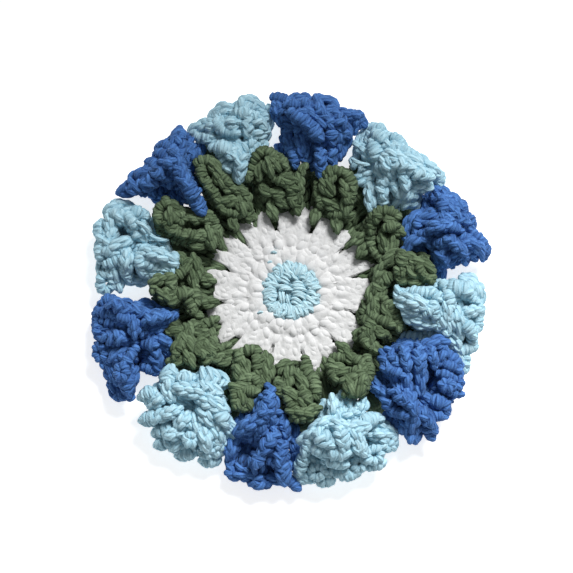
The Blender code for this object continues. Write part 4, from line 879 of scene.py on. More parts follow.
# The same for the leaves, numbered as in LEAVES.
LEAF_LOBES = {
    1: (
        ("rung", 35, 29.3, 0, 12, 3.6, 2, -100), ("along", 36.5, 26.3, 345, 5, 3, 1.5, -40),
        ("rung", 32, 27.2, 270, 3.5, 3.4, 2), ("rung", 37.3, 23.1, 10, 4.8, 4.4, 3),
        ("along", 40.2, 21.6, 330, 3.6, 3.2, 2), ("along", 34.6, 17.6, 285, 7.5, 3.6, 2.5, 15),
        ("along", 37.7, 17.4, 255, 6.5, 3.6, 2, -10), ("rung", 30.3, 24.5, 262, 6.5, 3.8, 1),
        ("rung", 29.8, 18.5, 280, 7, 3.8, 0.5, 15), ("rung", 32.4, 13.5, 310, 5.5, 4, 0.5, 20),
        ("along", 26.8, 15.2, 235, 5, 3.4, 0), ("along", 25, 19.5, 215, 5, 3.2, 0),
    ),
    2: (
        ("rung", 16.2, 44.3, 0, 9, 3.8, 2, -60), ("rung", 22, 41, 295, 8, 4.5, 2, -20),
        ("along", 14.8, 42, 270, 4.5, 3.4, 2), ("along", 13.4, 38.4, 300, 6, 4.4, 3),
        ("rung", 9.6, 38, 270, 4.5, 3, 0.5), ("braid", 20.3, 36.8, 280, 8, 4.2, 2.5),
        ("rung", 22.8, 35.5, 265, 5, 3.4, 1.5), ("along", 13.5, 33.3, 330, 9, 3.8, 1.5),
        ("along", 20.8, 31.8, 265, 6.5, 3.6, 2), ("along", 17.5, 31.2, 300, 5, 3, 1),
        ("rung", 18.5, 28.6, 0, 8, 3.5, 0.5), ("along", 17.2, 25.6, 275, 6, 3.6, 0),
        ("along", 9, 28.6, 250, 5, 3.2, 0), ("rung", 10.3, 34.2, 285, 5, 3.2, 0.5),
    ),
    3: (
        ("rung", -12.4, 50, 50, 6, 3.8, 2, -30), ("rung", -7.3, 50.6, 325, 6.5, 3.8, 2.5, -20),
        ("rung", -3.7, 48.1, 310, 5, 3.6, 2.5), ("along", -8, 45.6, 285, 5.5, 4, 3),
        ("along", -6, 46.8, 305, 5, 3.4, 3), ("rung", -4.4, 41, 340, 4.5, 4, 3),
        ("along", 0, 38.4, 345, 4, 3.2, 3), ("along", -1, 41.6, 335, 6, 3, 3),
        ("along", 3, 40.6, 285, 5, 3.2, 2), ("along", -5, 36.6, 350, 5.5, 3.4, 1.5),
        ("along", -9, 37.3, 330, 6, 3, 0.5), ("rung", 0.4, 35.3, 280, 6, 4.4, 2),
        ("along", 3, 35.8, 260, 5, 3, 2), ("rung", -15, 44.6, 250, 7, 3.6, 1, 20),
        ("along", -12, 44.5, 265, 6, 3, 0.5), ("rung", 2, 31.6, 285, 4.5, 3.4, 0.5),
        ("along", -7, 29.6, 300, 5, 3.2, 0), ("along", -3.5, 33.5, 320, 5, 3.2, 0.5),
        ("along", 4.3, 45.2, 245, 4, 2.4, 1),
    ),
    4: (
        ("rung", -32.4, 48.1, 10, 7, 4, 2, -70), ("along", -28.6, 45.8, 310, 6, 4, 2),
        ("rung", -24.8, 41, 320, 5, 3.8, 2), ("along", -23.4, 38.2, 340, 4.5, 3.6, 2.5),
        ("along", -19.6, 37.7, 335, 5.5, 3.6, 2.5), ("rung", -17.2, 36.2, 290, 4, 3.6, 2),
        ("along", -27, 41, 300, 5, 3.6, 2), ("rung", -33.4, 43.2, 280, 6, 4.2, 1.5),
        ("rung", -31, 39, 295, 5.5, 4, 1.5), ("rung", -28.5, 35.5, 300, 5.5, 4, 1.5),
        ("rung", -26.3, 31.6, 305, 4.5, 3.6, 1), ("along", -23, 33.5, 5, 5.5, 3.6, 2.5),
        ("along", -18.6, 32.3, 285, 7, 4, 2.5), ("along", -16.1, 33.2, 280, 5, 2.6, 2),
        ("rung", -22, 29.3, 350, 7, 3.6, 0.5), ("along", -17.5, 29.5, 0, 5, 2.6, 1),
        ("along", -15.6, 27.5, 340, 3.4, 2.6, 0.5), ("along", -21.5, 25.6, 280, 5, 3, 0),
    ),
    5: (
        ("along", -44, 30.8, 330, 8, 3, 2, 10), ("along", -35.5, 28.4, 355, 10, 2.8, 1.5, 10),
        ("rung", -48.3, 30.7, 40, 6, 3.8, 2.5, -60), ("rung", -49.6, 27.2, 270, 5.5, 3.6, 2, 20),
        ("along", -45, 26.7, 270, 5, 3.6, 3), ("ring", -41.2, 26, 0, 6, 2.8, 3, 5.6),
        ("along", -35.4, 26.2, 0, 4, 3.4, 2.5), ("along", -31, 26.2, 0, 4.6, 3.6, 2.5),
        ("rung", -28.4, 24.7, 285, 6, 3.4, 2), ("along", -44.4, 22.5, 350, 5, 3, 2),
        ("rung", -42, 20.5, 345, 5, 3, 1.5), ("rung", -37.5, 20.5, 340, 5, 3.8, 2),
        ("along", -33.5, 20.2, 0, 4.5, 3.4, 2), ("along", -30.3, 20.1, 285, 8, 3.6, 2.5, 10),
        ("along", -27.3, 19.7, 280, 7, 3, 2), ("along", -35, 17, 350, 6, 3, 0),
        ("rung", -46.6, 24, 300, 4, 3, 1),
    ),
    6: (
        ("along", -49.4, 2.9, 20, 5, 4, 2.5), ("rung", -44.8, 2.6, 290, 5, 4.8, 3),
        ("rung", -41, 5.8, 40, 6, 4, 2), ("along", -38.4, 9.4, 50, 5, 3.8, 1.5),
        ("along", -35.4, 8.8, 285, 8, 3.6, 2), ("along", -41, 12.2, 130, 3.4, 2.2, 0),
        ("along", -36.4, 3.8, 275, 6, 3.4, 2), ("rung", -35.4, -1.7, 280, 7, 4, 2),
        ("along", -31.4, 3.9, 350, 5, 4, 1), ("along", -31, -4.4, 5, 6, 3.4, 0.5),
        ("along", -47.4, -2.8, 320, 4.5, 4, 2), ("along", -44, -4.8, 0, 4, 2.8, 2),
        ("along", -44.5, -1.3, 10, 5, 3, 2.5), ("rung", -40.5, -1.8, 10, 6.5, 5.2, 3),
        ("rung", -37.4, -5.7, 300, 6, 4.2, 1.5), ("rung", -36, -8.6, 330, 5, 3.6, 1),
        ("rung", -51, 0.4, 260, 4, 3.2, 1),
    ),
    7: (
        ("along", -43, -16.6, 170, 5.5, 3, 1.5), ("rung", -38.4, -14.2, 20, 6, 3.4, 2, -20),
        ("along", -34.4, -12.7, 0, 5, 3, 1.5), ("rung", -30.5, -12, 30, 6, 3.4, 1.5, -40),
        ("along", -37.5, -17.7, 280, 6, 3, 3), ("along", -34.8, -15.7, 340, 5.5, 2.8, 2.5),
        ("rung", -32, -16.7, 280, 6, 3, 2), ("along", -29.5, -17.2, 285, 5, 2.6, 1),
        ("along", -41.5, -20.7, 60, 6, 3, 2), ("along", -38.4, -20.4, 300, 6, 3.2, 3),
        ("along", -34.5, -20.1, 20, 4, 2.8, 3), ("rung", -42, -23.6, 240, 6, 3.4, 1.5, 20),
        ("along", -37.7, -26.6, 300, 5.5, 3.4, 2), ("along", -34.2, -23.2, 295, 5, 3, 3),
        ("along", -31, -22.6, 310, 6, 2.6, 2.5), ("along", -28.5, -20.8, 315, 5, 2.6, 1.5),
        ("rung", -25.5, -21.5, 20, 5, 3.4, 0.5), ("along", -24.5, -24, 350, 6, 3, 0.5),
        ("along", -29.5, -26, 10, 8, 2.6, 1), ("along", -25, -27, 0, 7, 2.4, 0.5),
        ("along", -42.4, -27.1, 10, 6, 2.6, 0.5),
    ),
    8: (
        ("rung", -15.5, -22.7, 10, 7, 4.4, 2.5, -50), ("rung", -12.4, -25.7, 290, 6, 4, 2),
        ("rung", -19.2, -25.8, 285, 6, 4, 2), ("along", -17, -28.6, 290, 6, 3.6, 2.5),
        ("along", -18.8, -32.1, 295, 6, 3.6, 2.5), ("rung", -12.9, -28.5, 280, 6.5, 3.6, 2.5),
        ("along", -16.3, -34, 0, 4.5, 3.4, 2.5), ("rung", -12.9, -34.4, 300, 5, 4, 2),
        ("along", -10.4, -30, 285, 10, 3, 1), ("along", -18.5, -37.6, 340, 7, 4, 2.5),
        ("along", -18.4, -41.3, 270, 6, 4.4, 2), ("rung", -14.7, -38.6, 0, 4.4, 4.2, 3),
        ("rung", -20.8, -40.5, 275, 8, 3.4, 1.5), ("along", -16.4, -42.2, 300, 6, 3.8, 1.5),
        ("rung", -19, -44.6, 350, 5, 3.2, 0.5), ("along", -8.4, -28, 285, 9, 3.4, 0),
        ("rung", -20.6, -29.4, 275, 5, 3, 1),
    ),
    9: (
        ("along", -2.3, -28.2, 10, 5, 3.6, 1), ("rung", 5.6, -28, 285, 6, 4.4, 1),
        ("rung", 0.2, -31.2, 350, 9, 5, 2, -20), ("along", -1.5, -34.2, 280, 5, 4, 2.5),
        ("rung", 7, -32.2, 310, 7, 4.4, 2), ("rung", 9, -37, 275, 8, 4.2, 2),
        ("along", 4.4, -35, 300, 7, 4.6, 3), ("along", -5, -35.6, 70, 4, 2.6, 1.5),
        ("along", -3.2, -36, 0, 5, 3, 2.5), ("along", -3.3, -38.3, 5, 5, 3, 2.5),
        ("along", -0.3, -39.6, 320, 5.5, 3.6, 3), ("along", 2.5, -41.2, 310, 7, 3.6, 2.5),
        ("rung", 5.2, -40, 300, 6, 5, 3.5), ("rung", 0, -43.7, 300, 8, 4, 1.5, 10),
        ("along", 3, -46.7, 350, 8, 4, 2), ("along", 8, -45.2, 10, 5, 3.6, 1.5),
        ("rung", 3.6, -48.9, 0, 7, 3.4, 0.5, 20),
    ),
    10: (
        ("rung", 14.5, -28.2, 80, 7.5, 3.6, 2, -60), ("rung", 18.5, -25.5, 0, 6, 3.6, 2),
        ("along", 17.5, -29.9, 340, 6.5, 4, 2.5), ("along", 22.4, -26, 310, 5, 3.6, 2.5),
        ("rung", 25.4, -27.2, 330, 5.5, 4.4, 2.5), ("rung", 28.5, -27.7, 280, 6, 4, 2),
        ("rung", 29.3, -31.2, 265, 5, 3.6, 1.5), ("rung", 24.4, -30.7, 10, 6, 4, 3),
        ("along", 20.5, -31.7, 0, 6, 3.6, 2.5), ("rung", 15.5, -31.6, 300, 6, 4, 1.5),
        ("along", 22.5, -34, 10, 7, 3.4, 3), ("rung", 26.5, -33.7, 300, 5, 4, 3),
        ("along", 21.5, -36.5, 290, 6, 3.8, 3.5), ("along", 25.5, -36.8, 250, 7, 3.6, 3.5),
        ("rung", 23, -39.5, 0, 7, 3.6, 2, 10), ("rung", 28, -36.2, 250, 6, 3, 1.5),
        ("along", 19.5, -21.8, 320, 5, 3.2, 0), ("along", 31.5, -23, 60, 4, 2.8, 0.5),
    ),
    11: (
        ("rung", 38.3, -8.7, 300, 13, 4, 2.5, -25), ("along", 36.2, -9.6, 295, 9, 2.8, 2.5),
        ("along", 30.5, -7.6, 260, 7, 3.6, 2), ("along", 32.5, -8.6, 290, 5.5, 3, 2.5),
        ("rung", 34.4, -12.1, 335, 8, 4.4, 3.5), ("rung", 29, -14.1, 240, 8, 4.4, 3, 20),
        ("along", 29.6, -16, 260, 5, 3, 3), ("along", 33.4, -16.4, 335, 4.5, 3, 1.5),
        ("rung", 27.5, -18.6, 290, 6, 4.4, 2), ("along", 29.6, -19.6, 265, 5, 3, 2),
        ("along", 24.8, -16.5, 240, 4, 2.8, 0.5), ("along", 32, -22, 310, 5, 2.8, 0.5),
        ("rung", 40.2, -13.6, 265, 4, 3.6, 1.5), ("along", 33.3, -4.5, 330, 4, 3.2, 1.5),
        ("along", 28.4, -11.2, 250, 5, 3, 1),
    ),
    12: (
        ("along", 38.5, 12.8, 10, 7, 3.4, 2, -30), ("along", 44, 11.2, 335, 9, 3, 2.5),
        ("along", 49.4, 8.6, 325, 7, 3.6, 2.5, -20), ("rung", 52.2, 5.2, 275, 6, 3.6, 2, -30),
        ("along", 37.5, 11, 40, 6, 3, 2, -30), ("along", 43, 9.2, 330, 8, 2.8, 2.5),
        ("along", 34, 8.8, 240, 8, 3.4, 1.5), ("along", 33, 5, 230, 6, 2.8, 1),
        ("ring", 41, 6.4, 0, 6, 2.6, 3, 5), ("along", 45.5, 6.2, 300, 5, 3, 3),
        ("rung", 48, 6.7, 300, 5, 3.4, 3), ("rung", 49.4, 4.2, 340, 5, 4.2, 2.5),
        ("along", 46, 3, 350, 6, 3, 2), ("along", 41.5, 3.7, 355, 5, 3, 2),
        ("rung", 36.5, 4.3, 215, 7, 4.2, 2), ("rung", 33, 1.3, 240, 6, 4.6, 1.5),
        ("along", 30, -1.2, 260, 6, 3.2, 0.5), ("along", 33.5, -0.7, 235, 5, 3.4, 1),
    ),
}

# ---------------------------------------------------------------- materials

# A yarn's look: the colour of its painted shade, for strands low in the work and for the inside of the work;
# its low and high colours, between which its tone varies; how much lighter the crests of its plies are
# painted than their grooves, which is painted shade; and how strong its bump is.
Look = namedtuple("Look", "deep low high ply bump")
# The middle is the light blue yarn, with a brighter copy of its colours: painted light.
CENTRE_PAINTED_LIGHT = "centre_light_blue_painted_light"      # painted light on the middle, which the photo shows a little brighter
LOOKS = {
    ROYAL: Look((0.005, 0.018, 0.070), (0.022, 0.070, 0.240), (0.112, 0.275, 0.650), 0.30, 0.8),
    LIGHT: Look((0.110, 0.265, 0.360), (0.315, 0.550, 0.665), (0.535, 0.770, 0.865), 0.26, 0.7),
    CENTRE_PAINTED_LIGHT: Look((0.170, 0.330, 0.410), (0.420, 0.650, 0.740), (0.620, 0.860, 0.940), 0.26, 0.7),
    GREEN: Look((0.007, 0.013, 0.006), (0.028, 0.050, 0.020), (0.205, 0.285, 0.168), 0.30, 0.8),
    WHITE: Look((0.560, 0.558, 0.548), (0.735, 0.738, 0.738), (0.830, 0.833, 0.836), 0.12, 0.2),
}


def new_material(name):
    material = bpy.data.materials.new(name)
    material.use_nodes = True
    return material, material.node_tree, material.node_tree.nodes["Principled BSDF"]


def maths(tree, operation, first, second=None):
    made = tree.nodes.new("ShaderNodeMath")
    made.operation = operation
    for socket, value in zip(made.inputs, (first, second)):
        if isinstance(value, float):
            socket.default_value = value
        elif value is not None:
            tree.links.new(value, socket)
    return made.outputs[0]


def summed(tree, *values):
    """The sum of all values."""
    total = values[0]
    for value in values[1:]:
        total = maths(tree, "ADD", total, value)
    return total


def ramp(tree, value, low, high, to_high=1.0):
    """0 up to low, to_high from high on, even between them."""
    made = tree.nodes.new("ShaderNodeMapRange")
    made.clamp = True
    tree.links.new(value, made.inputs["Value"])
    for name, number in (("From Min", low), ("From Max", high), ("To Min", 0.0), ("To Max", to_high)):
        made.inputs[name].default_value = number
    return made.outputs["Result"]


def mix_colour(tree, share, first, second):
    made = tree.nodes.new("ShaderNodeMix")
    made.data_type = "RGBA"
    for socket, value in ((made.inputs[0], share), (made.inputs[6], first), (made.inputs[7], second)):
        if isinstance(value, float):
            socket.default_value = value
        elif isinstance(value, tuple):
            socket.default_value = (*value, 1.0)
        else:
            tree.links.new(value, socket)
    return made.outputs[2]


def noise(tree, scale, detail):
    place = tree.nodes.new("ShaderNodeTexCoord")
    made = tree.nodes.new("ShaderNodeTexNoise")
    made.inputs["Scale"].default_value = scale
    made.inputs["Detail"].default_value = detail
    tree.links.new(place.outputs["Object"], made.inputs["Vector"])
    return made.outputs["Fac"]


def stored(tree, name):
    """A value that Yarn.build stores on every point."""
    made = tree.nodes.new("ShaderNodeAttribute")
    made.attribute_name = name
    return made.outputs["Fac"]


def cover(tree, shader, colour, relief, strength, distance, **sockets):
    """Colour, bump and plain values of a surface."""
    bump = tree.nodes.new("ShaderNodeBump")
    bump.inputs["Strength"].default_value = strength
    bump.inputs["Distance"].default_value = distance
    tree.links.new(relief, bump.inputs["Height"])
    tree.links.new(bump.outputs["Normal"], shader.inputs["Normal"])
    tree.links.new(colour, shader.inputs["Base Color"])
    for name, value in sockets.items():
        shader.inputs[name.replace("_", " ")].default_value = value


def yarn_material(name, look):
    """Twisted cotton: its plies wind round each strand. Its ply grooves and the strands low down in the work
    are painted darker: painted shade.
    """
    material, tree, shader = new_material(name)
    places = tree.nodes.new("ShaderNodeUVMap")
    places.uv_map = "Yarn"
    split = tree.nodes.new("ShaderNodeSeparateXYZ")
    tree.links.new(places.outputs[0], split.inputs[0])
    along, around = split.outputs[0], split.outputs[1]
    turn = summed(tree, around, maths(tree, "MULTIPLY", along, 1.0 / PLY_TURN_MM))
    wave = maths(tree, "ABSOLUTE", maths(tree, "SINE", maths(tree, "MULTIPLY", turn, math.pi * PLIES)))
    fibre = noise(tree, 2600.0, 2.0)
    patch = noise(tree, 160.0, 2.0)
    # Painted shade on the plies: their grooves are painted darker than their crests. Fibre, strand and patch
    # noise vary the tone at random.
    light = summed(tree, ramp(tree, wave, 0.0, 1.0, look.ply), ramp(tree, fibre, 0.3, 0.7, 0.25),
                   ramp(tree, stored(tree, "tone"), 0.0, 1.0, 0.30), ramp(tree, patch, 0.35, 0.65, 0.20))
    colour = mix_colour(tree, light, look.low, look.high)
    # Painted shade: strands low in the work are mixed towards the painted shade colour.
    colour = mix_colour(tree, ramp(tree, stored(tree, "deep"), -1.3, 0.6), look.deep, colour)
    relief = summed(tree, wave, maths(tree, "MULTIPLY", fibre, 1.2))
    cover(tree, shader, colour, relief, look.bump, 0.00025, Roughness=0.9, Sheen_Weight=0.03,
          Sheen_Roughness=0.5, Specular_IOR_Level=0.15)
    return material


def painted_shade_back_material(name, look):
    """The inside of the work, seen between the stitches, coloured in painted shade."""
    material, tree, shader = new_material(name)
    fibre = noise(tree, 700.0, 3.0)
    colour = mix_colour(tree, ramp(tree, fibre, 0.3, 0.7), look.deep, look.low)
    cover(tree, shader, colour, fibre, 0.8, 0.0005, Roughness=0.95, Specular_IOR_Level=0.1)
    return material


def body_material(name, look):
    """The thick soft work that stitches lie half sunk in."""
    material, tree, shader = new_material(name)
    fibre = noise(tree, 900.0, 3.0)
    patch = noise(tree, 260.0, 2.0)
    light = summed(tree, ramp(tree, fibre, 0.3, 0.7, 0.5), ramp(tree, patch, 0.35, 0.65, 0.3))
    # Its random mottling reaches down to half way between the painted shade colour and the low colour.
    colour = mix_colour(tree, light, mix_colour(tree, 0.5, look.deep, look.low), look.high)
    cover(tree, shader, colour, fibre, 0.5, 0.0004, Roughness=0.95, Specular_IOR_Level=0.1)
    return material


# ---------------------------------------------------------------- leaves and flowers

BASE_DROP = 1.6          # the sheet between the lobes is drawn this much lower
LEAF_DROP = 1.8          # the same on a leaf, and there is a dent in its middle
LEAF_DENT = 1.2
DENT_WIDTH = 0.38
BASE_SHORT = 0.10        # the sheet ends this part of its reach earlier
TIP_SHORT = 0.15         # and this much more at a fold's tip, where the lobes make the edge
TIP_WIDTH = 0.16
PIT_MORE = 0.7           # pits are drawn this much deeper than in the CAD
SHEET_REACH = 0.97       # a thin sheet ends just inside its outermost stitches
SHEET_SIDES = (-0.1, -0.9)   # how high its upper and lower sides are above the middle of the work
SHEET_LOWEST = (0.8, 0.5)    # and how high above the table at least
FLOWER_SEED = 0          # the random draws of a piece start from this and its number
LEAF_SEED = 100


def mesh_piece(name, points, faces, material, slot):
    """A sheet: it rides on the body and takes the place of the CAD node that its name starts with."""
    mesh = bpy.data.meshes.new(f"{name}_sheet")
    mesh.from_pydata((points * MM).tolist(), [], faces)
    mesh.validate()
    mesh.shade_smooth()
    mesh.materials.append(material)
    thing = bpy.data.objects.new(f"{name}_sheet", mesh)
    bpy.context.scene.collection.objects.link(thing)
    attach(thing, "root")
    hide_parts(name)
    return thing


def backing(name, surface, span, material, slot, sectors=72, rings=9):
    """The sheet of a leaf or a flower, thin and closed, just under the stitches."""
    turns = np.arange(sectors) / sectors * span
    outs = np.linspace(0.0, SHEET_REACH, rings + 1)[1:]
    turn, out = np.meshgrid(turns, outs, indexing="ij")
    points = []
    for up, lowest in zip(SHEET_SIDES, SHEET_LOWEST):
        side = lift(surface, turn, out, np.full(turn.shape, up))[..., :3]
        side[..., 2] = np.maximum(side[..., 2], lowest)
        points += [lift(surface, np.zeros(1), np.full(1, 0.02), np.full(1, up))[:, :3], side.reshape(-1, 3)]
    each = 1 + sectors * rings
    faces = []
    for base, order in ((0, 1), (each, -1)):
        for sector in range(sectors):
            here, there = base + 1 + sector * rings, base + 1 + (sector + 1) % sectors * rings
            faces.append((base, here, there)[::order])
            for ring in range(rings - 1):
                faces.append((here + ring, here + ring + 1, there + ring + 1, there + ring)[::order])
    for sector in range(sectors):
        top, top_after = (sector + 1) * rings, ((sector + 1) % sectors + 1) * rings
        faces.append((top, each + top, each + top_after, top_after))
    return mesh_piece(name, np.concatenate(points), faces, material, slot)


def declare(thing):
    """Adds up the area of a sheet's upper side, and does nothing with it."""
    area = sum(polygon.area for polygon in thing.data.polygons) / 2.0


def work(yarn, surface, span, ground, rounds, lobes):
    """All stitches of a leaf or a flower: the plain rounds, and the lobes over them."""
    for row in rounds:
        stitch_round(yarn, surface, span, row)
    for row in lobes:
        draw_lobe(yarn, Lobe(*row), ground)


def flower_base(top, creases, tip_short):
    """The surface of a flower between its lobes, lower and smaller than the CAD's."""
    def surface(turn, out):
        nearest = np.round(turn).astype(int)
        short = tip_short[nearest % len(tip_short)] * np.exp(-(((turn - nearest) / TIP_WIDTH) ** 2))
        place = top(turn, out * (1.0 - BASE_SHORT - short))
        for crease in creases:
            if crease.rise < 0:
                place[..., 2] += PIT_MORE * crease_rise(crease, place[..., 0], place[..., 1])
        place[..., 2] = np.maximum(place[..., 2] - BASE_DROP * (1.0 - 0.5 * out), LOWEST_MIDDLE)
        return place
    return surface


def build_flower(number, flower, yarns, painted_shade_backs):
    creases = [crease for crease in CREASES if crease.flower == number]
    span = len(flower.folds)
    notches = np.array([fold.notch for fold in flower.folds])
    tip_short = TIP_SHORT * np.clip(0.5 * (notches + np.roll(notches, 1)) / 0.25, 0.0, 1.0)

    def top(turn, out):
        return flower_surface(flower, creases, turn, out)

    surface = flower_base(top, creases, tip_short)
    name = f"flower_{number:02d}"
    yarn = Yarn(f"{name}_stitches", FLOWER_SEED + number)
    work(yarn, surface, span, sheet_ground(top, span), FLOWER_ROUNDS, LOBES[number])
    stitches = yarn.build(yarns[flower.yarn], flower.yarn)
    declare(backing(name, surface, span, painted_shade_backs[flower.yarn], flower.yarn))


def build_leaf(number, leaf, yarns, painted_shade_backs):
    def top(turn, out):
        return leaf_surface(leaf, turn, out)

    def surface(turn, out):
        place = top(turn, out)
        place[..., 2] -= LEAF_DROP * (1.0 - 0.4 * out) + LEAF_DENT * np.exp(-(out / DENT_WIDTH) ** 2)
        return place

    name = f"leaf_{number:02d}"
    yarn = Yarn(f"{name}_stitches", LEAF_SEED + number)
    work(yarn, surface, 1.0, sheet_ground(top, 1.0), LEAF_ROUNDS, LEAF_LOBES[number])
    stitches = yarn.build(yarns[GREEN], GREEN)
    declare(backing(name, surface, 1.0, painted_shade_backs[GREEN], GREEN, sectors=40, rings=6))


# ---------------------------------------------------------------- rounds

FLAT_MIDDLE = 2.0        # the three rounds are 4 mm thick
DISC_EDGE = 10.6
DISC_TOP = 3.6
WHITE_START = 10.4       # the white round goes a little under the disc's edge
WHITE_TOP = 3.7          # its upper side, without its bobbles
OUTER_DROP = 1.1         # how much lower it is at its outer and inner edge, which are rounded
INNER_DROP = 1.2
EDGE_POWER = 14
GREEN_START = 26.0
GREEN_EDGE = 44.5
GREEN_MIDDLE = 1.2
SKIN = 0.3               # half the thickness of a thin sheet
POINT_LONG = 1.4         # the white points as seen reach this much further out than in the CAD
BOBBLES = 14
CLUSTERS = 27            # the stitches of the row outside the bobbles
# Rings of relief in the white work: how far out, how wide and how high each is.
Relief = namedtuple("Relief", "radius width height")
BOBBLE_RING = Relief(13.3, 2.9, 0.9)
CLUSTER_RING = Relief(19.0, 2.6, 0.35)
GROOVE = Relief(16.7, 0.8, -0.5)
# Rounds of soft lumps in the white work: how far out, how many, how long and thick each is, how far it
# stands out, and how many degrees it leans at most, to the left or the right.
LumpRow = namedtuple("LumpRow", "radius count length thick rise lean")
LUMP_ROWS = (
    LumpRow(12.6, 19, 4.4, 2.3, 0.55, 40), LumpRow(15.6, 20, 3.6, 1.9, 0.35, 80),
    LumpRow(18.2, 24, 3.8, 2.0, 0.50, 60), LumpRow(20.9, 28, 3.4, 1.9, 0.40, 70),
    LumpRow(23.3, 30, 3.2, 1.8, 0.35, 60),
)
# Lumps of one point: how far out, which part of the way to the next point, below zero to the one before.
PointLump = namedtuple("PointLump", "radius side length thick rise")
POINT_LUMPS = (
    PointLump(25.4, -0.30, 3.0, 1.6, 0.40), PointLump(25.2, 0.32, 3.0, 1.6, 0.40),
    PointLump(27.5, -0.12, 2.6, 1.5, 0.40), PointLump(28.2, 0.14, 2.6, 1.4, 0.35),
    PointLump(29.9, 0.0, 2.0, 1.0, 0.30),
)
SLIT_BARS = (20.6, 22.2, 23.8, 25.4)     # how far out the green bars under each slit between points lie
SLIT_BAR_LENGTH = 4.19
SLIT_BAR_RADIUS = 0.85
DISC_SEED = 201
WHITE_SEED = 202
GREEN_SEED = 203

# Strands of the middle, a tangle: x, y of the start, the bow and the end of each.
Tangle = namedtuple("Tangle", "x y bow_x bow_y end_x end_y up")
TANGLE = (
    Tangle(-9.2, 1.0, -7.6, 1.4, -5.4, 0.4, 0.7), Tangle(-9.0, -0.6, -7.2, -0.2, -5.2, -0.8, 0.4),
    Tangle(-6.6, 1.8, -3.4, 2.0, 0.2, 1.4, 0.8), Tangle(-4.8, 0.6, -2.0, 1.0, 1.0, 0.6, 1.0),
    Tangle(-0.4, 2.2, 2.6, 2.2, 5.6, 1.4, 0.9), Tangle(0.2, 0.9, 3.0, 1.1, 6.2, 0.2, 1.1),
    Tangle(0.0, -0.3, 3.2, -0.5, 6.0, -1.7, 1.0), Tangle(0.4, -1.5, 3.4, -1.5, 5.8, -3.4, 0.9),
    Tangle(-4.2, 0.2, -4.0, -2.4, -3.6, -5.2, 1.0), Tangle(-3.0, 0.3, -2.9, -2.2, -2.8, -5.0, 1.1),
    Tangle(-4.6, -4.2, -4.4, -5.8, -3.8, -7.4, 0.6), Tangle(0.0, -2.8, 1.8, -2.9, 4.6, -4.8, 0.9),
    Tangle(0.0, -4.0, 1.4, -4.2, 3.4, -5.8, 0.7), Tangle(0.8, -5.6, 3.2, -6.0, 5.8, -5.4, 0.6),
    Tangle(-1.6, -1.0, -1.4, -3.0, -0.8, -5.0, 0.1), Tangle(-1.8, -4.2, -1.0, -6.2, 0.0, -7.6, 0.2),
    Tangle(-8.6, -2.0, -7.4, -3.4, -5.6, -4.0, 0.7), Tangle(-8.0, -0.9, -6.4, -2.0, -5.2, -2.0, 0.5),
    Tangle(-9.6, -5.2, -7.6, -5.4, -5.0, -7.2, 0.7), Tangle(-8.8, -6.8, -7.0, -6.6, -5.4, -8.0, 0.3),
    Tangle(-3.8, -7.0, -2.8, -6.2, -1.6, -8.4, 0.6), Tangle(-7.0, -8.6, -4.8, -9.2, -2.6, -9.2, 0.4),
    Tangle(-2.0, -9.2, 0.0, -9.8, 2.0, -9.2, 0.5), Tangle(1.2, -7.8, 3.0, -8.6, 5.0, -7.8, 0.5),
    Tangle(0.6, -8.8, 1.4, -7.4, 3.4, -7.0, 0.5), Tangle(4.2, -7.0, 6.0, -6.6, 7.4, -5.6, 0.4),
    Tangle(5.8, -4.6, 7.4, -4.4, 8.8, -5.0, 0.4), Tangle(6.0, -3.0, 7.8, -2.6, 9.2, -3.4, 0.5),
    Tangle(6.4, 0.6, 8.0, -0.2, 8.6, -1.8, 0.5), Tangle(6.0, 2.0, 7.6, 1.0, 9.4, 0.4, 0.4),
    Tangle(5.4, 3.8, 6.8, 3.6, 8.4, 2.0, 0.7), Tangle(-4.6, 4.6, -2.8, 3.8, -0.8, 2.6, 0.8),
    Tangle(-4.2, 6.0, -2.4, 5.0, -0.6, 3.6, 1.0), Tangle(-3.2, 7.2, -1.6, 6.4, 0.2, 4.8, 0.9),
    Tangle(-1.8, 8.0, -0.4, 7.2, 1.2, 6.0, 0.7), Tangle(-6.6, 5.4, -6.2, 3.8, -5.2, 2.4, 0.6),
    Tangle(0.6, 3.2, 2.8, 3.4, 4.8, 2.6, 0.7), Tangle(0.4, 6.6, 1.2, 5.2, 2.8, 4.2, 0.8),
    Tangle(1.0, 8.2, 1.8, 6.8, 1.6, 5.6, 0.6), Tangle(3.2, 6.2, 4.6, 6.8, 5.8, 5.6, 0.8),
    Tangle(3.0, 5.0, 4.4, 5.2, 5.6, 4.4, 0.9), Tangle(-7.4, 8.0, -5.6, 8.8, -4.0, 7.4, 0.6),
    Tangle(-6.8, 6.8, -5.4, 7.4, -4.2, 6.6, 0.5), Tangle(-3.8, 8.2, -1.6, 9.4, 0.8, 8.6, 0.6),
    Tangle(-1.8, 10.2, -0.2, 10.8, 1.0, 9.8, 0.3), Tangle(2.0, 9.4, 3.6, 9.6, 5.0, 8.6, 0.2),
    Tangle(2.2, 8.0, 3.8, 8.2, 5.2, 7.4, 0.1), Tangle(6.2, 7.4, 7.2, 6.2, 8.2, 4.6, 0.2),
    Tangle(7.2, 7.8, 8.4, 6.4, 9.0, 5.0, 0.3), Tangle(-9.6, 4.4, -8.4, 4.6, -7.2, 3.6, 0.3),
    Tangle(-9.8, 2.8, -8.2, 3.0, -6.8, 2.2, 0.3), Tangle(-9.8, -2.2, -9.4, -0.4, -9.6, 1.4, 0.2),
)
# Ends of the middle's yarn that show between the white puffs.
PEEPS = (
    Tangle(-7.6, 14.6, -6.4, 15.0, -5.2, 14.4, 1.0), Tangle(-9.0, 10.4, -8.0, 11.2, -6.8, 11.2, 0.9),
    Tangle(-12.8, -8.6, -11.6, -7.8, -10.2, -8.0, 0.9),
)
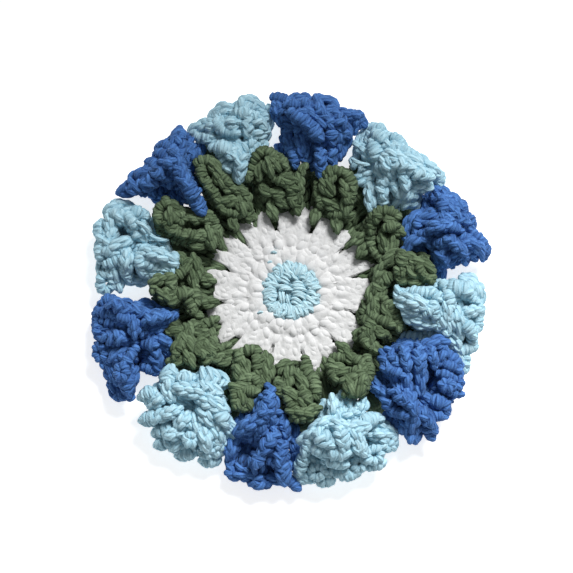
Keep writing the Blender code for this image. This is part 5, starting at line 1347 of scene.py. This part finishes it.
# Green work low down in the gaps between the flowers: x, y, heading, length, width.
Patch = namedtuple("Patch", "x y heading length width")
DARK_PATCHES = (
    Patch(5.0, 45.0, 0, 8, 6), Patch(26.0, 36.5, 300, 8, 7), Patch(5.5, -49.5, 10, 9, 6),
    Patch(30.0, -40.5, 300, 10, 8), Patch(-11.5, 37.0, 280, 10, 7), Patch(12.5, -37.0, 270, 12, 5),
    Patch(46.0, -15.5, 20, 8, 5), Patch(47.0, 14.0, 60, 6, 5), Patch(-0.5, 46.5, 0, 7, 5),
    Patch(-31.0, 52.5, 330, 9, 6), Patch(-24.0, 43.0, 300, 7, 5), Patch(-17.5, 40.0, 30, 6, 5),
    Patch(-44.0, 16.0, 310, 9, 6), Patch(24.5, 45.5, 80, 7, 5), Patch(30.0, -31.0, 300, 8, 5),
    Patch(-44.0, -12.0, 320, 9, 6), Patch(-46.5, -15.5, 320, 6, 5), Patch(42.5, -13.5, 60, 7, 5),
    Patch(42.5, 29.5, 80, 8, 5), Patch(40.0, 18.5, 80, 8, 5), Patch(-31.5, 32.5, 300, 7, 5),
    Patch(-39.5, -29.0, 355, 10, 5), Patch(-24.0, -41.5, 285, 9, 5), Patch(-21.5, -46.0, 240, 8, 5),
    Patch(45.5, 1.5, 0, 8, 5),
)
# Small holes in the white work.
Hole = namedtuple("Hole", "x y")
HOLE_DEPTH = 2.2
HOLE_SPREAD = 0.45       # square millimetres
PINHOLES = (Hole(-6.5, 18.2), Hole(4.4, 18.3), Hole(-21.0, -4.7), Hole(-7.0, -20.5), Hole(20.5, -7.2))


def flat_round(inner, outer, height=FLAT_MIDDLE):
    """A flat round: turn from 0 to 1, out from 0 at its inner edge to 1 at its outer edge."""
    def made(turn, out):
        direction = 2.0 * math.pi * turn
        low, high = (edge(np.degrees(direction)) if callable(edge) else edge for edge in (inner, outer))
        radius = low + out * (high - low)
        return np.stack([radius * np.cos(direction), radius * np.sin(direction),
                         np.full_like(radius, height)], axis=-1)
    return made


def between_points(directions):
    """For each direction: the white point before it, the part of the way to the next one, the line from tip
    to tip there, and how far in the valley goes."""
    table = np.array(POINTS)
    angles = np.append(table[:, 0], table[0, 0] + 360.0)
    directions = np.mod(directions, 360.0)
    wrapped = np.where(directions < angles[0], directions + 360.0, directions)
    first = np.searchsorted(angles, wrapped, side="right") - 1
    part = (wrapped - angles[first]) / (angles[first + 1] - angles[first])
    reach = table[:, 1]
    span = reach[first] + (reach[(first + 1) % len(table)] - reach[first]) * part
    return first, part, span, table[first, 2]


def point_edge(directions):
    """The white round's outer edge in the CAD: points with valleys between them."""
    _, part, span, low = between_points(directions)
    return span - (span - low) * valley(part)


def white_edge(directions):
    """The white round as seen: broad points in pairs, thin slits between the pairs."""
    first, part, span, low = between_points(directions)
    span = span + POINT_LONG
    middle = 1.0 - np.abs(2.0 * part - 1.0)
    slit = 0.16 * middle + 0.84 * smoothstep((middle - 0.54) / 0.26)
    return span - (span - low) * np.where(first % 2 == 0, slit, middle ** 1.3)


def green_start(directions):
    """The green round's inner edge, just under the white points."""
    return np.maximum(point_edge(directions) - 1.5, GREEN_START)


def band(ring, radius, power):
    """A ring of relief, flatter on top and steeper at its sides with a higher power."""
    return ring.height * np.exp(-((radius - ring.radius) / ring.width) ** power)


def white_top(x, y, out):
    """The height of the white work: bobbles round the middle, flat stitches, and a rounded edge."""
    radius, around = np.hypot(x, y), np.arctan2(y, x) / (2.0 * math.pi)
    bobbles = np.abs(np.cos(math.pi * (around * BOBBLES + 0.35))) ** 0.7
    clusters = np.cos(2.0 * math.pi * (around * CLUSTERS + 0.2))
    height = WHITE_TOP + bobbles * band(BOBBLE_RING, radius, 4) + clusters * band(CLUSTER_RING, radius, 4)
    height = height + band(GROOVE, radius, 2)
    height = height - OUTER_DROP * out ** EDGE_POWER - INNER_DROP * (1.0 - out) ** EDGE_POWER
    for hole in PINHOLES:
        height = height - HOLE_DEPTH * np.exp(-((x - hole.x) ** 2 + (y - hole.y) ** 2) / HOLE_SPREAD)
    return height


def ring_sheet(name, surface, material, slot, sectors=96, rings=4, top=None):
    """The sheet of a round, flat and closed; top gives the height of its upper side."""
    turn, out = np.meshgrid(np.arange(sectors) / sectors, np.linspace(0.0, 1.0, rings + 1), indexing="ij")
    upper = surface(turn, out)
    upper[..., 2] = top(upper[..., 0], upper[..., 1], out) if top else upper[..., 2] + SKIN
    lower = surface(turn[:, [0, rings]], out[:, [0, rings]])
    lower[..., 2] -= SKIN
    across = rings + 1
    half = sectors * across
    faces = []
    for sector in range(sectors):
        after = (sector + 1) % sectors
        here, there = sector * across, after * across
        for ring in range(rings):
            faces.append((here + ring, here + ring + 1, there + ring + 1, there + ring))
        low, low_after = half + 2 * sector, half + 2 * after
        faces.append((low_after, low_after + 1, low + 1, low))
        faces.append((here, there, low_after, low))
        faces.append((there + rings, here + rings, low + 1, low_after + 1))
    points = np.concatenate([upper.reshape(-1, 3), lower.reshape(-1, 3)])
    return mesh_piece(name, points, faces, material, slot)


def bowed(start, bow, end):
    return np.array([start, 0.5 * (start + bow), bow, 0.5 * (bow + end), end])


def draw_tangle(yarn, strands, top, radius):
    """Loose strands on the disc, sunk in it at both ends."""
    for strand in strands:
        x = bowed(strand.x, strand.bow_x, strand.end_x)
        y = bowed(strand.y, strand.bow_y, strand.end_y)
        up = np.array([-1.0, 0.75 * strand.up, strand.up, 0.75 * strand.up, -1.0])
        # The fourth value sets the painted shade: darker where a strand sinks into the disc.
        yarn.add(np.stack([x, y, top + up, 0.4 * up + 0.3], axis=-1)[None], radius)


def build_disc(yarns, bodies):
    disc, disc_top = flat_round(0.0, DISC_EDGE), flat_round(0.0, DISC_EDGE, DISC_TOP)
    yarn = Yarn("centre_disc_stitches", DISC_SEED)
    stitch_round(yarn, disc_top, 1.0, DISC_ROUND, jitter=0.10, radius=0.95)
    draw_tangle(yarn, TANGLE, DISC_TOP + 0.2, 0.75)
    draw_tangle(yarn, PEEPS, WHITE_TOP - 0.1, 0.48)
    stitch_round(yarn, disc, 1.0, DISC_BACK)
    stitches = yarn.build(yarns[CENTRE_PAINTED_LIGHT], LIGHT)
    sheet = ring_sheet("centre_disc", flat_round(0.05, DISC_EDGE), bodies[CENTRE_PAINTED_LIGHT], LIGHT, sectors=48, rings=8,
                       top=lambda x, y, out: DISC_TOP - 0.9 - 0.4 * out ** 8)
    declare(sheet)


def draw_lump(yarn, angle, radius, length, thick, rise, lean):
    """A short thick strand, mostly sunk in the white work, and none over a slit."""
    if white_edge(np.array([angle]))[0] < radius + 0.6:
        return
    turned = math.radians(angle + lean)
    part = np.array([-0.5, -0.28, 0.0, 0.28, 0.5]) * length
    x = radius * math.cos(math.radians(angle)) + part * math.cos(turned)
    y = radius * math.sin(math.radians(angle)) + part * math.sin(turned)
    edge = white_edge(np.degrees(np.arctan2(y, x)))
    out = np.clip((np.hypot(x, y) - WHITE_START) / (edge - WHITE_START), 0.0, 1.0)
    up = np.array([-0.55, -0.12, 0.0, -0.12, -0.55]) + rise
    # The fourth value sets the lump's painted shade, a little darker than its height gives.
    yarn.add(np.stack([x, y, white_top(x, y, out) + up - thick, up - 0.2], axis=-1)[None], thick)


def build_white(yarns, bodies):
    white = flat_round(WHITE_START, white_edge)
    yarn = Yarn("petal_round_stitches", WHITE_SEED)
    uniform = yarn.random.uniform
    for row in LUMP_ROWS:
        for number in range(row.count):
            angle = (number + uniform(-0.28, 0.28)) * 360.0 / row.count
            draw_lump(yarn, angle, row.radius + uniform(-0.8, 0.8), row.length * uniform(0.8, 1.15),
                      row.thick * uniform(0.85, 1.1), row.rise * uniform(0.6, 1.3),
                      row.lean * uniform(-1.0, 1.0))
    for number, point in enumerate(POINTS):
        before, after = POINTS[number - 1].angle, POINTS[(number + 1) % len(POINTS)].angle
        share = (((point.angle - before) % 360.0) * 0.5, ((after - point.angle) % 360.0) * 0.5)
        for row in POINT_LUMPS:
            angle = point.angle + row.side * share[row.side > 0] + uniform(-0.6, 0.6)
            draw_lump(yarn, angle, row.radius + uniform(-0.4, 0.4), row.length, row.thick,
                      row.rise * uniform(0.7, 1.2), uniform(-60.0, 60.0))
    stitch_round(yarn, white, 1.0, WHITE_BACK)
    stitches = yarn.build(yarns[WHITE], WHITE)
    sheet = ring_sheet("petal_round", white, bodies[WHITE], WHITE, sectors=480, rings=28, top=white_top)
    declare(sheet)


def build_green(yarns, painted_shade_backs):
    green = flat_round(green_start, GREEN_EDGE, GREEN_MIDDLE)
    yarn = Yarn("leaf_round_stitches", GREEN_SEED)
    for row in GREEN_ROUNDS:
        stitch_round(yarn, green, 1.0, row)
    for patch in DARK_PATCHES:
        lobe = Lobe("along", *patch, rise=0.5 * patch.width + 0.4)
        bundle(yarn, crest_line(lobe, lambda x, y: np.zeros_like(x)), patch.width)
    for slit in range(0, len(POINTS), 2):
        middle = 0.5 * (POINTS[slit].angle + POINTS[slit + 1].angle)
        for radius in SLIT_BARS:
            angles = np.radians(middle) + np.array([-0.5, 0.0, 0.5]) * SLIT_BAR_LENGTH / radius
            # Painted shade: these real stitches are coloured almost wholly in the painted shade colour, so
            # the slits look dark.
            bar = np.stack([radius * np.cos(angles), radius * np.sin(angles), np.full(3, 0.9),
                            np.full(3, -1.2)], axis=-1)
            yarn.add(bar[None], SLIT_BAR_RADIUS)
    stitches = yarn.build(yarns[GREEN], GREEN)
    sheet = ring_sheet("leaf_round", green, painted_shade_backs[GREEN], GREEN, sectors=144)
    declare(sheet)


# ---------------------------------------------------------------- stage

FLOOR_HALF = 3.0                      # metres from here on
FLOOR_DROP = 0.0002                   # the floor lies just under the coaster
LAMP_AZIMUTH = math.radians(62.0)     # the lamp stands behind the top edge, a little to the right
LAMP_HEIGHT = math.radians(48.0)
LAMP_DISTANCE = 2.5
LAMP_SIZE = 0.9
LAMP_POWER = 86.0
CARD_DISTANCE = 0.5
CARD_EDGE = 0.045                     # the card's lower edge is this far from the middle of the beam
CARD_SIZE = (0.6, 0.3)
CAMERA_TILT = math.radians(82.0)
CAMERA_DISTANCE = 1.1
PICTURE_WIDTH = 0.2138                # what the picture shows across, at the coaster
PICTURE_MIDDLE = Vector((-0.00168, 0.00131, 0.008))
SENSOR_MM = 36.0


def plane(name, corners, colour):
    """A flat piece of the stage with one plain colour."""
    mesh = bpy.data.meshes.new(name)
    mesh.from_pydata(corners, [], [(0, 1, 2, 3)])
    thing = bpy.data.objects.new(name, mesh)
    bpy.context.scene.collection.objects.link(thing)
    material, _, shader = new_material(name)
    shader.inputs["Base Color"].default_value = (*colour, 1.0)
    mesh.materials.append(material)
    return thing, shader


def build_floor():
    corners = [(x * FLOOR_HALF, y * FLOOR_HALF, 0.0) for x, y in ((-1, -1), (1, -1), (1, 1), (-1, 1))]
    floor, shader = plane("floor", corners, (0.9, 0.9, 0.9))
    floor.location.z = -FLOOR_DROP
    shader.inputs["Roughness"].default_value = 0.9
    shader.inputs["Emission Color"].default_value = (1.0, 1.0, 1.0, 1.0)
    shader.inputs["Emission Strength"].default_value = 0.7
    return floor


def build_lamp(towards):
    lamp = bpy.data.lights.new("key", "AREA")
    lamp.shape = "DISK"
    lamp.size = LAMP_SIZE
    lamp.energy = LAMP_POWER
    key = bpy.data.objects.new("key", lamp)
    key.location = towards * LAMP_DISTANCE
    key.rotation_euler = (-towards).to_track_quat("-Z", "Y").to_euler()
    bpy.context.scene.collection.objects.link(key)
    return key


def build_card(towards):
    """A dark card beside the beam: the far flowers see less of the lamp, and are darker, as in the photo."""
    upward = (Vector((0.0, 1.0, 0.0)) - towards.y * towards).normalized()
    sideways = towards.cross(upward)
    half, height = 0.5 * CARD_SIZE[0], CARD_EDGE + CARD_SIZE[1]
    corners = [towards * CARD_DISTANCE + upward * up + sideways * side
               for up, side in ((CARD_EDGE, -half), (CARD_EDGE, half), (height, half), (height, -half))]
    card, _ = plane("card", corners, (0.02, 0.02, 0.02))
    card.visible_camera = False
    return card


def build_world():
    world = bpy.data.worlds.new("world")
    world.use_nodes = True
    background = world.node_tree.nodes["Background"]
    background.inputs["Color"].default_value = (0.96, 0.98, 1.0, 1.0)
    background.inputs["Strength"].default_value = 0.24
    bpy.context.scene.world = world


def build_camera():
    data = bpy.data.cameras.new("camera")
    data.sensor_width = SENSOR_MM
    data.lens = SENSOR_MM * CAMERA_DISTANCE / PICTURE_WIDTH
    data.clip_start, data.clip_end = 0.05, 20.0
    camera = bpy.data.objects.new("camera", data)
    bpy.context.scene.collection.objects.link(camera)
    back = Vector((0.0, -math.cos(CAMERA_TILT), math.sin(CAMERA_TILT)))
    camera.location = PICTURE_MIDDLE + back * CAMERA_DISTANCE
    camera.rotation_mode = "QUATERNION"
    camera.rotation_quaternion = (-back).to_track_quat("-Z", "Y")
    bpy.context.scene.camera = camera
    return camera


def build_stage():
    flat = math.cos(LAMP_HEIGHT)
    towards = Vector((math.cos(LAMP_AZIMUTH) * flat, math.sin(LAMP_AZIMUTH) * flat, math.sin(LAMP_HEIGHT)))
    build_world()
    bpy.context.scene.view_settings.view_transform = "Standard"
    build_floor()
    build_lamp(towards)
    build_card(towards)
    build_camera()


def main():
    yarns = {name: yarn_material(name, look) for name, look in LOOKS.items()}
    # The inside of every yarn's work is coloured in painted shade.
    painted_shade_backs = {name: painted_shade_back_material(f"{name}_back", look) for name, look in LOOKS.items()}
    bodies = {name: body_material(f"{name}_body", look) for name, look in LOOKS.items()}
    build_disc(yarns, bodies)
    build_white(yarns, bodies)
    build_green(yarns, painted_shade_backs)
    for number, leaf in enumerate(LEAVES, start=1):
        build_leaf(number, leaf, yarns, painted_shade_backs)
    for number, flower in enumerate(FLOWERS, start=1):
        build_flower(number, flower, yarns, painted_shade_backs)
    build_stage()


main()
